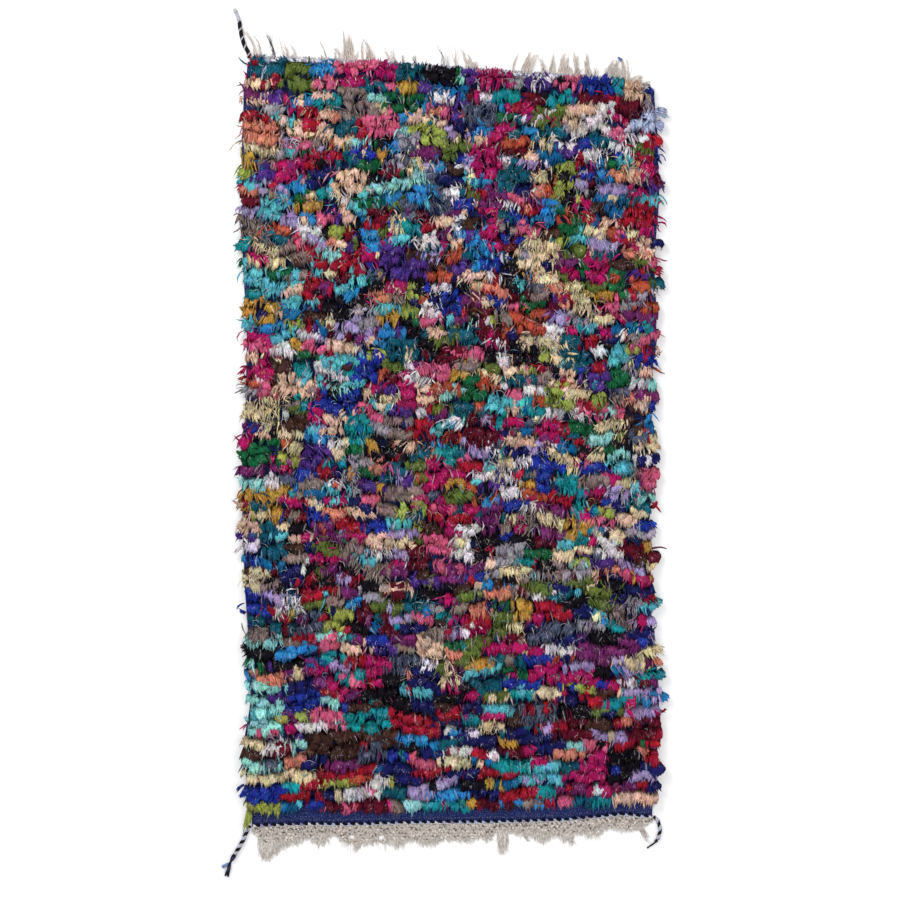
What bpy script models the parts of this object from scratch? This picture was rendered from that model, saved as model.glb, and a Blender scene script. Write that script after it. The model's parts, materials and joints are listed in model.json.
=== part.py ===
"""Shaggy rag rug: a dark blue ground weave with rows of tied rag strips, a twined row and a fringe at
each end, and corner braids. Metres, +Z up. The rug lies flat with its pile up, X across it and Y along it.
Its origin is the middle of its underside, measured without the braids."""

import math
import random

import bmesh
import bpy
from mathutils import Vector

# Kept between pieces that touch
GAP = 0.0003

# Corners of the ground weave, as laid on the floor
BOTTOM_LEFT = Vector((-0.533, -1.023))
BOTTOM_RIGHT = Vector((0.550, -0.998))
TOP_RIGHT = Vector((0.556, 0.958))
TOP_LEFT = Vector((-0.545, 1.034))

# How far each edge bulges out from the line between its corners
# columns: share of the edge, bulge
LEFT_BULGE = (
    (0.00, 0.000), (0.05, 0.015), (0.10, 0.021), (0.165, 0.003), (0.205, 0.014), (0.245, 0.009),
    (0.33, 0.018), (0.45, 0.023), (0.56, 0.011), (0.63, 0.007), (0.76, 0.017), (0.88, 0.017),
    (0.96, 0.012), (1.00, 0.000),
)
RIGHT_BULGE = (
    (0.00, 0.000), (0.055, 0.013), (0.16, 0.018), (0.23, 0.008), (0.26, -0.003), (0.36, -0.003),
    (0.42, -0.008), (0.46, 0.001), (0.57, -0.005), (0.61, -0.003), (0.65, 0.008), (0.70, 0.007),
    (0.76, 0.002), (0.86, 0.014), (0.93, 0.010), (1.00, 0.000),
)
BOTTOM_BULGE = (
    (0.00, 0.000), (0.13, -0.004), (0.37, 0.001), (0.64, 0.004), (0.77, 0.002), (0.92, -0.011), (1.00, 0.000),
)
TOP_BULGE = ((0.00, 0.000), (0.14, 0.009), (0.30, 0.012), (0.50, 0.011), (0.86, 0.012), (1.00, 0.000))

# Ground weave
GROUND_THICK = 0.004
STITCHES = 49
STATIONS = 2 * STITCHES
SIDE_STEPS = 40

# Pile: rows of tied strips that lean towards the bottom end
PILE_ROWS = 68
PILE_COLUMNS = 18
PILE_START = 0.015
PILE_INSET = 0.003
PILE_SHOULDER = 0.020
CREST_PLACE = 0.35
CREST_HIGH = 0.030
TROUGH_HIGH = 0.018
RIM_HIGH = 0.013
HEIGHT_SPREAD = 0.005
RIM_SPREAD = 0.0015
CREST_DRIFT = 0.004
RIM_LOCK = (0.008, 0.019)
END_LOCK = (0.004, 0.008)
LOCK_SHARE = 0.85
LOCK_TIP = 0.35
LOCK_LEAN = 0.3
END_LOCK_TIP = 0.55

# The long yellow-green rag that hangs past the bottom left corner: columns are the steps across and along
LONG_RAG = ((-0.010, -0.002), (-0.005, -0.014), (-0.001, -0.012))
LONG_RAG_TAPER = 0.85

# Twined rows
TWINE_WIDTH = 0.013
TWINE_HIGH, TWINE_LOW = 0.0062, 0.0034
TWINE_SLANT = 0.003
TWINE_BATTER = 0.12

# Knotted warp ends at the bottom: columns are the distance from the left corner, the depth of the
# knotted band, and the length of the locks below it
BOTTOM_FRINGE = (
    (0.000, 0.016, 0.008), (0.030, 0.032, 0.006), (0.050, 0.040, 0.046), (0.066, 0.040, 0.040),
    (0.080, 0.038, 0.026), (0.125, 0.036, 0.016), (0.148, 0.030, 0.006), (0.180, 0.036, 0.022),
    (0.200, 0.034, 0.018), (0.216, 0.020, 0.004), (0.232, 0.022, 0.004), (0.250, 0.040, 0.016),
    (0.273, 0.046, 0.024), (0.330, 0.042, 0.010), (0.352, 0.046, 0.026), (0.375, 0.040, 0.012),
    (0.392, 0.044, 0.028), (0.425, 0.038, 0.012), (0.478, 0.044, 0.018), (0.520, 0.036, 0.008),
    (0.578, 0.040, 0.010), (0.615, 0.032, 0.006), (0.640, 0.038, 0.012), (0.660, 0.020, 0.004),
    (0.678, 0.022, 0.062), (0.692, 0.022, 0.060), (0.705, 0.020, 0.006), (0.745, 0.024, 0.018),
    (0.790, 0.026, 0.030), (0.825, 0.030, 0.012), (0.862, 0.034, 0.030), (0.885, 0.030, 0.006),
    (0.925, 0.038, 0.018), (0.965, 0.026, 0.004), (1.012, 0.032, 0.012), (1.045, 0.034, 0.010),
    (1.085, 0.014, 0.006),
)
BAND_ROWS = (0.0, 0.32, 0.74, 1.0)
BAND_THICK, BAND_KNOT = 0.0040, 0.0018
BAND_HOLES = (0.270, 0.350)
BAND_LOCK_SHARE = 0.70
BAND_LOCK_TIP = 0.30
BAND_LOCK_SPREAD = (0.7, 1.05)
BAND_LOCK_LEAN = 0.06

# Loose warp ends at the top: columns are the distance from the left corner, the length, how far the
# tip leans to the right, the number of strands, and the width at the root
TOP_TUFTS = (
    (0.030, 0.105, -0.030, 3, 0.022), (0.057, 0.020, 0.000, 1, 0.011), (0.080, 0.085, -0.028, 1, 0.011),
    (0.110, 0.055, -0.006, 3, 0.033), (0.216, 0.070, -0.024, 1, 0.011), (0.264, 0.080, 0.002, 5, 0.055),
    (0.325, 0.068, -0.008, 3, 0.033), (0.384, 0.048, -0.004, 2, 0.022), (0.424, 0.018, 0.000, 1, 0.011),
    (0.453, 0.020, 0.003, 1, 0.011), (0.532, 0.072, -0.020, 1, 0.011), (0.562, 0.058, -0.008, 2, 0.022),
    (0.594, 0.066, -0.016, 2, 0.022), (0.622, 0.038, 0.005, 3, 0.033), (0.722, 0.058, 0.000, 1, 0.011),
    (0.752, 0.064, 0.012, 3, 0.033), (0.797, 0.064, -0.006, 3, 0.033), (0.832, 0.062, 0.000, 2, 0.022),
    (0.862, 0.062, -0.002, 3, 0.033), (0.892, 0.066, -0.004, 2, 0.022), (0.918, 0.066, -0.004, 2, 0.022),
    (0.941, 0.048, -0.004, 2, 0.022), (1.002, 0.060, 0.004, 6, 0.066), (1.060, 0.024, 0.003, 3, 0.033),
)
TUFT_NARROWING = 0.55
STRIP_WIDTH = 0.006
STRIP_THICK = 0.003
STRIP_START = 2
STRAND_TIP = 0.30
STRAND_BEND = 0.55
STRAND_NARROWING = 0.55
STRAND_SPREAD = 0.25
EARLY_SWING = 0.3

# Corner braids, each a short rope of a dark and a pale cord: points from the corner that it hangs at
BRAID_TOP_LEFT = (
    (0.004, 0.0138), (0.002, 0.028), (-0.008, 0.046), (-0.015, 0.068), (-0.020, 0.092), (-0.0225, 0.112),
)
BRAID_BOTTOM_LEFT = (
    (-0.0054, -0.0075), (-0.014, -0.022), (-0.022, -0.042), (-0.033, -0.062), (-0.046, -0.0845),
)
BRAID_BOTTOM_RIGHT = (
    (0.0045, -0.0075), (0.014, -0.018), (0.0205, -0.036), (0.020, -0.053), (0.0145, -0.069),
)
WRAPPED_END = ((-0.0228, 0.1138), (-0.0262, 0.1240), (-0.0310, 0.1350), (-0.0360, 0.1470))
BLACK_TAIL = (
    (-0.0463, -0.0850), (-0.053, -0.096), (-0.060, -0.109), (-0.0635, -0.127), (-0.0655, -0.146),
)
THIN_TAIL = ((0.0136, -0.0702), (0.0080, -0.0780), (-0.0010, -0.0850), (-0.0140, -0.0940))
BRAID_RADIUS = 0.0060
THIN_BRAID_RADIUS = 0.0055
TWIST_LENGTH = 0.044
TWIST_RINGS = 12
TWIST_DEPTH = 0.24
# columns: share of the length, radius
WRAP_RADII = ((0.0, 0.0050), (0.1, 0.0056), (0.6, 0.0050), (0.75, 0.0062), (1.0, 0.0042))
KNOT_RADII = ((0.0, 0.0045), (0.10, 0.0068), (0.22, 0.0060), (0.34, 0.0030), (0.6, 0.0052), (1.0, 0.0030))
TAIL_RADII = ((0.0, 0.0042), (0.15, 0.0048), (0.30, 0.0026), (1.0, 0.0022))
TAIL_STEP = 0.006
KNOT_RINGS = 3
PALE_TAIL = (-0.022, -0.004)
PALE_TAIL_TIP = 0.55
ROUND_SIDES = 8
ROUTE_PARTS = 20
LOBES = 2

# Colours of the plain materials
GROUND_COLOUR = (0.035, 0.050, 0.190)
PILE_COLOUR = (0.300, 0.070, 0.170)
TWINE_COLOUR = (0.120, 0.130, 0.170)
BAND_COLOUR = (0.640, 0.590, 0.520)
WARP_COLOUR = (0.690, 0.650, 0.590)
BRAID_COLOUR = (0.090, 0.095, 0.150)
WRAP_COLOUR = (0.420, 0.420, 0.440)
BLACK_COLOUR = (0.030, 0.030, 0.045)
ROUGHNESS = 0.9

random_source = random.Random(11)


def eased(table, share, column=1):
    """Value of a table's column at a share, smooth between its rows."""
    for near, far in zip(table, table[1:]):
        if share <= far[0]:
            part = max(0.0, (share - near[0]) / (far[0] - near[0]))
            part = part * part * (3 - 2 * part)
            return near[column] + (far[column] - near[column]) * part
    return table[-1][column]


def place(across, along):
    """Point of the ground weave at a share across from the left edge and along from the bottom edge."""
    left = BOTTOM_LEFT.lerp(TOP_LEFT, along) - Vector((eased(LEFT_BULGE, along), 0))
    right = BOTTOM_RIGHT.lerp(TOP_RIGHT, along) + Vector((eased(RIGHT_BULGE, along), 0))
    low = BOTTOM_LEFT.lerp(BOTTOM_RIGHT, across)
    high = TOP_LEFT.lerp(TOP_RIGHT, across)
    bottom = low - Vector((0, eased(BOTTOM_BULGE, across)))
    top = high + Vector((0, eased(TOP_BULGE, across)))
    return left.lerp(right, across) + bottom.lerp(top, along) - low.lerp(high, along)


def end_points(along, outward, distance):
    """Points at a distance outside an end of the weave, one for each half stitch from left to right."""
    step = Vector((0, outward * distance))
    return [place(station / STATIONS, along) + step for station in range(STATIONS + 1)]


def new_material(name, colour):
    """Plain cloth material of one colour."""
    material = bpy.data.materials.new(name)
    material.use_nodes = True
    shader = material.node_tree.nodes["Principled BSDF"]
    shader.inputs["Base Color"].default_value = (*colour, 1.0)
    shader.inputs["Roughness"].default_value = ROUGHNESS
    material.diffuse_color = (*colour, 1.0)
    return material


def finish_object(name, mesh, colour):
    """Turns a mesh in work into a named object with its own material."""
    bmesh.ops.recalc_face_normals(mesh, faces=mesh.faces[:])
    data = bpy.data.meshes.new(name)
    mesh.to_mesh(data)
    mesh.free()
    data.materials.append(new_material(name + "_material", colour))
    made = bpy.data.objects.new(name, data)
    bpy.context.collection.objects.link(made)
    return made


def add_slab(mesh, points, cells, low, highs, rim=None):
    """Adds a closed slab over flat cells of points: an upper skin, a lower skin and a wall round each
    edge of a single cell. A rim makes the lower skin one flat face. Returns the walls by their points."""
    lower = rim if rim else range(len(points))
    bottoms = {spot: mesh.verts.new((*points[spot], low)) for spot in lower}
    tops = [mesh.verts.new((*point, high)) for point, high in zip(points, highs)]
    edges = {pair for cell in cells for pair in zip(cell, cell[1:] + cell[:1])}
    for cell in cells:
        mesh.faces.new([tops[spot] for spot in cell])
        if not rim:
            mesh.faces.new([bottoms[spot] for spot in reversed(cell)])
    if rim:
        mesh.faces.new([bottoms[spot] for spot in reversed(rim)])
    walls = {}
    for first, second in edges:
        if (second, first) not in edges:
            corners = (tops[second], tops[first], bottoms[first], bottoms[second])
            walls[first, second] = mesh.faces.new(corners)
    return walls


def draw_out(mesh, face, step, tip, floor=None):
    """Draws one face out by a step into a tapering lock, and returns the lock's end face.
    With a floor, the end's lower side is set down to that level."""
    end = bmesh.ops.extrude_discrete_faces(mesh, faces=[face])["faces"][0]
    middle = end.calc_center_median()
    for corner in end.verts:
        corner.co = middle + (corner.co - middle) * tip + step
    if floor is not None:
        drop = min(corner.co.z for corner in end.verts) - floor
        for corner in end.verts:
            corner.co.z -= drop
    return end


def make_ground():
    """Flat dark blue weave under the whole rug, with its uneven outline."""
    bottom = [place(station / STATIONS, 0) for station in range(STATIONS)]
    right = [place(1, step / SIDE_STEPS) for step in range(SIDE_STEPS)]
    top = [place(1 - station / STATIONS, 1) for station in range(STATIONS)]
    left = [place(0, 1 - step / SIDE_STEPS) for step in range(SIDE_STEPS)]
    outline = bottom + right + top + left
    rim = list(range(len(outline)))
    mesh = bmesh.new()
    add_slab(mesh, outline, [rim], 0.0, [GROUND_THICK] * len(outline), rim)
    return finish_object("ground_weave", mesh, GROUND_COLOUR)


def pile_point(column, line):
    """Place on the weave of one point of the pile's grid. Even lines lie between rows, odd ones on crests."""
    width = (TOP_RIGHT - TOP_LEFT).length
    inset = PILE_INSET / width
    if column in (0, PILE_COLUMNS):
        across = inset if column == 0 else 1 - inset
    else:
        shoulder = (PILE_INSET + PILE_SHOULDER) / width
        across = shoulder + (1 - 2 * shoulder) * (column - 1) / (PILE_COLUMNS - 2)
    row = line // 2 + CREST_PLACE * (line % 2)
    along = PILE_START + (1 - inset - PILE_START) * row / PILE_ROWS
    drift = CREST_DRIFT * random_source.uniform(-1, 1) if line % 2 else 0.0
    return place(across, along) + Vector((0, drift))


def pile_height(column, line):
    """Height of one point of the pile's grid: crests on the rows, and a lower rim."""
    if column in (0, PILE_COLUMNS) or line in (0, 2 * PILE_ROWS):
        return RIM_HIGH + RIM_SPREAD * random_source.uniform(-1, 1)
    high = CREST_HIGH if line % 2 else TROUGH_HIGH
    return high + HEIGHT_SPREAD * random_source.uniform(-1, 1)


def rim_lock(mesh, wall, outward, reach, tip):
    """Draws a lock out of one wall of the pile, leaning towards the bottom end."""
    length = random_source.uniform(*reach)
    lean = Vector((0, -length * LOCK_LEAN * random_source.random(), 0))
    return draw_out(mesh, wall, outward * length + lean, tip)


def make_pile():
    """Lumpy slab of the tied rag strips, with crests along its rows and locks round its rim."""
    lines = 2 * PILE_ROWS + 1
    wide = PILE_COLUMNS + 1
    spots = [(column, line) for line in range(lines) for column in range(wide)]
    points = [pile_point(*spot) for spot in spots]
    highs = [pile_height(*spot) for spot in spots]
    cells = []
    for line in range(lines - 1):
        for column in range(PILE_COLUMNS):
            first = line * wide + column
            cells.append([first, first + 1, first + wide + 1, first + wide])
    bottom = list(range(PILE_COLUMNS))
    right = [line * wide + PILE_COLUMNS for line in range(lines - 1)]
    top = [(lines - 1) * wide + column for column in range(PILE_COLUMNS, 0, -1)]
    left = [line * wide for line in range(lines - 1, 0, -1)]
    mesh = bmesh.new()
    walls = add_slab(mesh, points, cells, GROUND_THICK + GAP, highs, bottom + right + top + left)
    outward = Vector((1, 0, 0))
    for row in range(PILE_ROWS):
        low = 2 * row * wide
        if row and random_source.random() < LOCK_SHARE:
            rim_lock(mesh, walls[low + wide, low], -outward, RIM_LOCK, LOCK_TIP)
        if random_source.random() < LOCK_SHARE:
            rim_lock(mesh, walls[low + wide - 1, low + 2 * wide - 1], outward, RIM_LOCK, LOCK_TIP)
    upward = Vector((0, 1, 0))
    last = (lines - 1) * wide
    for column in range(PILE_COLUMNS):
        draw_out(mesh, walls[column, column + 1], -upward * random_source.uniform(*END_LOCK), END_LOCK_TIP)
        wall = walls[last + column + 1, last + column]
        draw_out(mesh, wall, upward * random_source.uniform(*END_LOCK), END_LOCK_TIP)
    rag = walls[wide, 0]
    for step in LONG_RAG:
        rag = draw_out(mesh, rag, Vector((*step, 0)), LONG_RAG_TAPER)
    return finish_object("pile", mesh, PILE_COLOUR)


def make_twining(name, along, outward):
    """Twined row along one end of the weave: two cords that pass over each other at each half stitch."""
    mesh = bmesh.new()
    inner = end_points(along, outward, GAP)
    outer = end_points(along, outward, GAP + TWINE_WIDTH)
    rings = []
    for station, (near, far) in enumerate(zip(inner, outer)):
        over = station % 2
        near_high, far_high = (TWINE_HIGH, TWINE_LOW) if over else (TWINE_LOW, TWINE_HIGH)
        slant = Vector((TWINE_SLANT if 0 < station < STATIONS else 0, 0))
        near_top, far_top = near.lerp(far, TWINE_BATTER) + slant, far.lerp(near, TWINE_BATTER) + slant
        corners = ((near, 0), (far, 0), (far_top, far_high), (near_top, near_high))
        rings.append([mesh.verts.new((*point, high)) for point, high in corners])
    join_rings(mesh, rings)
    return finish_object(name, mesh, TWINE_COLOUR)


def join_rings(mesh, rings):
    """Skins a row of rings into one closed body with flat ends."""
    for near, far in zip(rings, rings[1:]):
        for first in range(len(near)):
            second = (first + 1) % len(near)
            mesh.faces.new((near[first], near[second], far[second], far[first]))
    mesh.faces.new(list(reversed(rings[0])))
    mesh.faces.new(rings[-1])


def make_bottom_fringe():
    """Band of knotted undyed warp ends below the bottom twined row, with holes, and locks along its edge."""
    root = end_points(0, -1, TWINE_WIDTH + 2 * GAP)
    distances = [point.x - BOTTOM_LEFT.x for point in root]
    count = len(root)
    points, highs = [], []
    for level, share in enumerate(BAND_ROWS):
        for station, (point, distance) in enumerate(zip(root, distances)):
            points.append(point - Vector((0, share * eased(BOTTOM_FRINGE, distance))))
            highs.append(BAND_THICK + (BAND_KNOT if (level + station) % 2 else 0))
    holes = {min(range(count), key=lambda spot: abs(distances[spot] - hole)) for hole in BAND_HOLES}
    cells = []
    for level in range(len(BAND_ROWS) - 1):
        for station in range(count - 1):
            if level == 1 and station in holes:
                continue
            first = level * count + station
            cells.append([first, first + count, first + count + 1, first + 1])
    mesh = bmesh.new()
    walls = add_slab(mesh, points, cells, 0.0, highs)
    edge = (len(BAND_ROWS) - 1) * count
    for station in range(count - 1):
        if random_source.random() < BAND_LOCK_SHARE:
            length = eased(BOTTOM_FRINGE, distances[station], 2) * random_source.uniform(*BAND_LOCK_SPREAD)
            step = Vector((length * BAND_LOCK_LEAN * random_source.uniform(-1, 1), -length, 0))
            draw_out(mesh, walls[edge + station, edge + station + 1], step, BAND_LOCK_TIP, 0.0)
    return finish_object("fringe_bottom", mesh, BAND_COLOUR)


def make_top_fringe():
    """Narrow strip beyond the top twined row, with the loose warp ends that lie out from it."""
    root = end_points(1, 1, TWINE_WIDTH + 2 * GAP)[STRIP_START:]
    distances = [point.x - TOP_LEFT.x for point in root]
    count = len(root)
    points = root + [point + Vector((0, STRIP_WIDTH)) for point in root]
    cells = [[spot, spot + 1, spot + count + 1, spot + count] for spot in range(count - 1)]
    mesh = bmesh.new()
    walls = add_slab(mesh, points, cells, 0.0, [STRIP_THICK] * len(points))
    taken = set()
    for at, reach, lean, strands, width in TOP_TUFTS:
        for strand in range(strands):
            aside = (strand - (strands - 1) / 2) * width / strands
            spot = min(range(count - 1), key=lambda cell: abs(distances[cell] - at - aside))
            if spot in taken:
                continue
            taken.add(spot)
            length = reach * (1 - STRAND_SPREAD * random_source.random())
            swing = lean - aside * (1 - TUFT_NARROWING)
            bend = Vector((swing * EARLY_SWING, length * STRAND_BEND, 0))
            rest = Vector((swing * (1 - EARLY_SWING), length * (1 - STRAND_BEND), 0))
            middle = draw_out(mesh, walls[count + spot + 1, count + spot], bend, STRAND_NARROWING, 0.0)
            draw_out(mesh, middle, rest, STRAND_TIP, 0.0)
    return finish_object("fringe_top", mesh, WARP_COLOUR)


def smooth_route(corner, points, step):
    """Even steps on a smooth curve through points given from a corner, flat on the floor, and its length."""
    knots = [Vector((corner.x + across, corner.y + along, 0)) for across, along in points]
    knots = [2 * knots[0] - knots[1], *knots, 2 * knots[-1] - knots[-2]]
    fine = []
    for a, b, c, d in zip(knots, knots[1:], knots[2:], knots[3:]):
        for part in range(ROUTE_PARTS):
            k = part / ROUTE_PARTS
            square = (2 * a - 5 * b + 4 * c - d) * k ** 2
            cube = (3 * b - a - 3 * c + d) * k ** 3
            fine.append(0.5 * (2 * b + (c - a) * k + square + cube))
    fine.append(knots[-2])
    reached = [0.0]
    for near, far in zip(fine, fine[1:]):
        reached.append(reached[-1] + (far - near).length)
    count = max(2, round(reached[-1] / step))
    route, spot = [], 0
    for number in range(count + 1):
        target = reached[-1] * number / count
        while spot < len(fine) - 2 and reached[spot + 1] < target:
            spot += 1
        part = (target - reached[spot]) / (reached[spot + 1] - reached[spot])
        route.append(fine[spot].lerp(fine[spot + 1], part))
    return route, reached[-1]


def ring_about(mesh, route, number, radius, twist):
    """Ring of points over one point of a route, resting on the floor. With a twist, two lobes stand out
    at that angle."""
    ahead = route[min(number + 1, len(route) - 1)] - route[max(number - 1, 0)]
    side = Vector((ahead.y, -ahead.x, 0)).normalized()
    middle = route[number] + Vector((0, 0, radius))
    ring = []
    for corner in range(ROUND_SIDES):
        angle = 2 * math.pi * corner / ROUND_SIDES
        out = radius
        if twist is not None:
            out *= 1 - TWIST_DEPTH * math.sin((angle - twist) * LOBES / 2) ** 2
        ring.append(mesh.verts.new(middle + (side * math.cos(angle) + Vector((0, 0, math.sin(angle)))) * out))
    return ring


def make_braid(name, corner, points, radius):
    """Short rope whose two cords stand out as ridges that wind round it."""
    route, length = smooth_route(corner, points, TWIST_LENGTH / TWIST_RINGS)
    mesh = bmesh.new()
    rings = []
    for number in range(len(route)):
        twist = 2 * math.pi * number * length / (len(route) - 1) / TWIST_LENGTH
        rings.append(ring_about(mesh, route, number, radius, twist))
    join_rings(mesh, rings)
    return finish_object(name, mesh, BRAID_COLOUR)


def make_tail(name, corner, points, radii, colour, side_tail=None):
    """Rope end of changing thickness, such as a wrapped end, or a knot and the tail below it. A side tail
    is a step from the knot's left side to the tip of a second, thinner one."""
    route, _ = smooth_route(corner, points, TAIL_STEP)
    mesh = bmesh.new()
    rings = []
    for number in range(len(route)):
        radius = eased(radii, number / (len(route) - 1))
        rings.append(ring_about(mesh, route, number, radius, None))
    join_rings(mesh, rings)
    if side_tail:
        mesh.faces.ensure_lookup_table()
        knot = min(mesh.faces[:KNOT_RINGS * ROUND_SIDES], key=lambda face: face.calc_center_median().x)
        draw_out(mesh, knot, Vector((*side_tail, 0)), PALE_TAIL_TIP, 0.0)
    return finish_object(name, mesh, colour)


def settle(objects, braids):
    """Moves every mesh so that the rug without its braids stands centred on the origin."""
    corners = [vertex.co for made in objects if made not in braids for vertex in made.data.vertices]
    lows = [min(corner[axis] for corner in corners) for axis in range(2)]
    highs = [max(corner[axis] for corner in corners) for axis in range(2)]
    shift = Vector((-(lows[0] + highs[0]) / 2, -(lows[1] + highs[1]) / 2, 0))
    for made in objects:
        for vertex in made.data.vertices:
            vertex.co += shift


def main():
    """Builds every piece of the rug."""
    for old in list(bpy.data.objects):
        bpy.data.objects.remove(old, do_unlink=True)
    cloth = [
        make_ground(),
        make_pile(),
        make_twining("twining_bottom", 0, -1),
        make_twining("twining_top", 1, 1),
        make_bottom_fringe(),
        make_top_fringe(),
    ]
    braids = [
        make_braid("braid_top_left", TOP_LEFT, BRAID_TOP_LEFT, BRAID_RADIUS),
        make_braid("braid_bottom_left", BOTTOM_LEFT, BRAID_BOTTOM_LEFT, BRAID_RADIUS),
        make_braid("braid_bottom_right", BOTTOM_RIGHT, BRAID_BOTTOM_RIGHT, THIN_BRAID_RADIUS),
        make_tail("wrapped_end_top_left", TOP_LEFT, WRAPPED_END, WRAP_RADII, WRAP_COLOUR),
        make_tail("tails_bottom_left", BOTTOM_LEFT, BLACK_TAIL, KNOT_RADII, BLACK_COLOUR, PALE_TAIL),
        make_tail("tails_bottom_right", BOTTOM_RIGHT, THIN_TAIL, TAIL_RADII, BLACK_COLOUR),
    ]
    settle(cloth + braids, braids)


main()
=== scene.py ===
"""Dresses a shaggy rag rug that lies flat: rag strips tied in rows, a dark blue ground weave, a twined row
and a warp fringe at each end, corner braids and loose threads, on a pale floor under studio light."""

from __future__ import annotations

import json
import logging
import math
import random
from collections.abc import Iterable, Sequence
from dataclasses import dataclass, field
from enum import Enum
from typing import NamedTuple

import bmesh
import bpy
import numpy as np
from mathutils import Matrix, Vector

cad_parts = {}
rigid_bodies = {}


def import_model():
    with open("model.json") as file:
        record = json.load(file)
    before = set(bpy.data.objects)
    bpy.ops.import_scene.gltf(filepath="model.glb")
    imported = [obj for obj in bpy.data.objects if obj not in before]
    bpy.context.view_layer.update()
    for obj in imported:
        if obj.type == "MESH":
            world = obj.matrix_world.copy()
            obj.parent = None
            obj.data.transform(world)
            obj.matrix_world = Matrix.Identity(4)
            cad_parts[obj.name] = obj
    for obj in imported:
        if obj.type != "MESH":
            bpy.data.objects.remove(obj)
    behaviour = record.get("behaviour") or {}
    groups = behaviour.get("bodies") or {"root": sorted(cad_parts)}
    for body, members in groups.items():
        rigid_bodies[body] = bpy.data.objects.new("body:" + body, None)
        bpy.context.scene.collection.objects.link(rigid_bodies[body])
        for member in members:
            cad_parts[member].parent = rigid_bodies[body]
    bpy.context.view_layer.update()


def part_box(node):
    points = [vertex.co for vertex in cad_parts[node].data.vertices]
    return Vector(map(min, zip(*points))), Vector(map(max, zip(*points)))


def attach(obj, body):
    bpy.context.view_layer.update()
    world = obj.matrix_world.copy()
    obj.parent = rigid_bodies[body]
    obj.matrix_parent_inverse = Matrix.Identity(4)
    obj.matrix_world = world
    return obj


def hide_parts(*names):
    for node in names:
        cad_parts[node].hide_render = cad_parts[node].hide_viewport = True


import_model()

BODY = "root"
log = logging.getLogger("rag_rug")

Table = Sequence[tuple[float, ...]]
Number = "float | Wire"


def eased(table: Table, share: float, column: int = 1) -> float:
    """Reads a table's column at a share, smooth between its rows.

    Args:
        table: Rows that start with a share, in rising order.
        share: Where to read.
        column: Which column to read.

    Returns:
        The column's value there.
    """
    for near, far in zip(table, table[1:]):
        if share <= far[0]:
            part = max(0.0, (share - near[0]) / (far[0] - near[0]))
            part = part * part * (3 - 2 * part)
            return near[column] + (far[column] - near[column]) * part
    return table[-1][column]


def linear(colour: Sequence[float]) -> tuple[float, float, float]:
    """Turns a display colour of 0 to 255 into linear light."""
    parts = (value / 255 for value in colour)
    return tuple(part / 12.92 if part <= 0.04045 else ((part + 0.055) / 1.055) ** 2.4 for part in parts)


# Node trees


class Wire:
    """A node's output, on which Python's operators add Math nodes."""

    def __init__(self, book: NodeBook, socket: bpy.types.NodeSocket) -> None:
        """Keeps the socket and the tree that it is in."""
        self.book = book
        self.socket = socket

    def __add__(self, other: Number) -> Wire:
        """Adds a number or another output."""
        return self.book.maths("ADD", self, other)

    def __sub__(self, other: Number) -> Wire:
        """Takes a number or another output away."""
        return self.book.maths("SUBTRACT", self, other)

    def __rsub__(self, other: Number) -> Wire:
        """Takes this output away from a number."""
        return self.book.maths("SUBTRACT", other, self)

    def __mul__(self, other: Number) -> Wire:
        """Multiplies by a number or another output."""
        return self.book.maths("MULTIPLY", self, other)

    def __truediv__(self, other: Number) -> Wire:
        """Divides by a number or another output."""
        return self.book.maths("DIVIDE", self, other)

    def fraction(self) -> Wire:
        """Keeps what is left above the whole number."""
        return self.book.maths("FRACT", self)

    def above(self, other: Number) -> Wire:
        """Gives 1 where this output is larger, and 0 elsewhere."""
        return self.book.maths("GREATER_THAN", self, other)

    def eased_over(self, low: float, high: float, start: float = 0.0, end: float = 1.0) -> Wire:
        """Runs smoothly from start to end while this output goes from low to high."""
        settings = {"interpolation_type": "SMOOTHSTEP"}
        limits = {"Value": self, "From Min": low, "From Max": high, "To Min": start, "To Max": end}
        return self.book.out(self.book.add("ShaderNodeMapRange", settings, limits), "Result")

    __radd__ = __add__
    __rmul__ = __mul__


class NodeBook:
    """Adds nodes to one shader or geometry tree."""

    def __init__(self, tree: bpy.types.NodeTree) -> None:
        """Keeps the tree that the nodes go into."""
        self.tree = tree

    def add(self, kind: str, settings: dict | None = None, inputs: dict | None = None) -> bpy.types.Node:
        """Adds one node.

        Args:
            kind: The node's type.
            settings: Its properties, which are set first.
            inputs: Values or outputs for its sockets, by name or number.

        Returns:
            The new node.
        """
        node = self.tree.nodes.new(kind)
        for name, value in (settings or {}).items():
            setattr(node, name, value)
        for name, value in (inputs or {}).items():
            if isinstance(value, Wire):
                self.tree.links.new(value.socket, node.inputs[name])
            else:
                node.inputs[name].default_value = value
        return node

    def out(self, node: bpy.types.Node, name: str | int = 0) -> Wire:
        """Gives one output of a node."""
        return Wire(self, node.outputs[name])

    def maths(self, operation: str, first: Number, second: Number | None = None) -> Wire:
        """Adds a Math node.

        Args:
            operation: What it works out.
            first: Its first value.
            second: Its second value, if it has one.

        Returns:
            The node's output.
        """
        values = {0: first} if second is None else {0: first, 1: second}
        return self.out(self.add("ShaderNodeMath", {"operation": operation}, values))

    def mixed(self, share: Number, first: object, second: object, blend: str = "MIX") -> Wire:
        """Mixes two colours by a share."""
        settings = {"data_type": "RGBA", "blend_type": blend}
        return self.out(self.add("ShaderNodeMix", settings, {0: share, 6: first, 7: second}), 2)

    def noise(self, place: Wire, scale: float, detail: float = 2.0, rough: float = 0.5) -> Wire:
        """Gives a noise of about 0 to 1 over a place."""
        values = {"Vector": place, "Scale": scale, "Detail": detail, "Roughness": rough}
        return self.out(self.add("ShaderNodeTexNoise", None, values), "Fac")


def opaque(colour: Sequence[float]) -> tuple[float, float, float, float]:
    """Adds full alpha to a linear colour."""
    return (*colour, 1.0)


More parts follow.
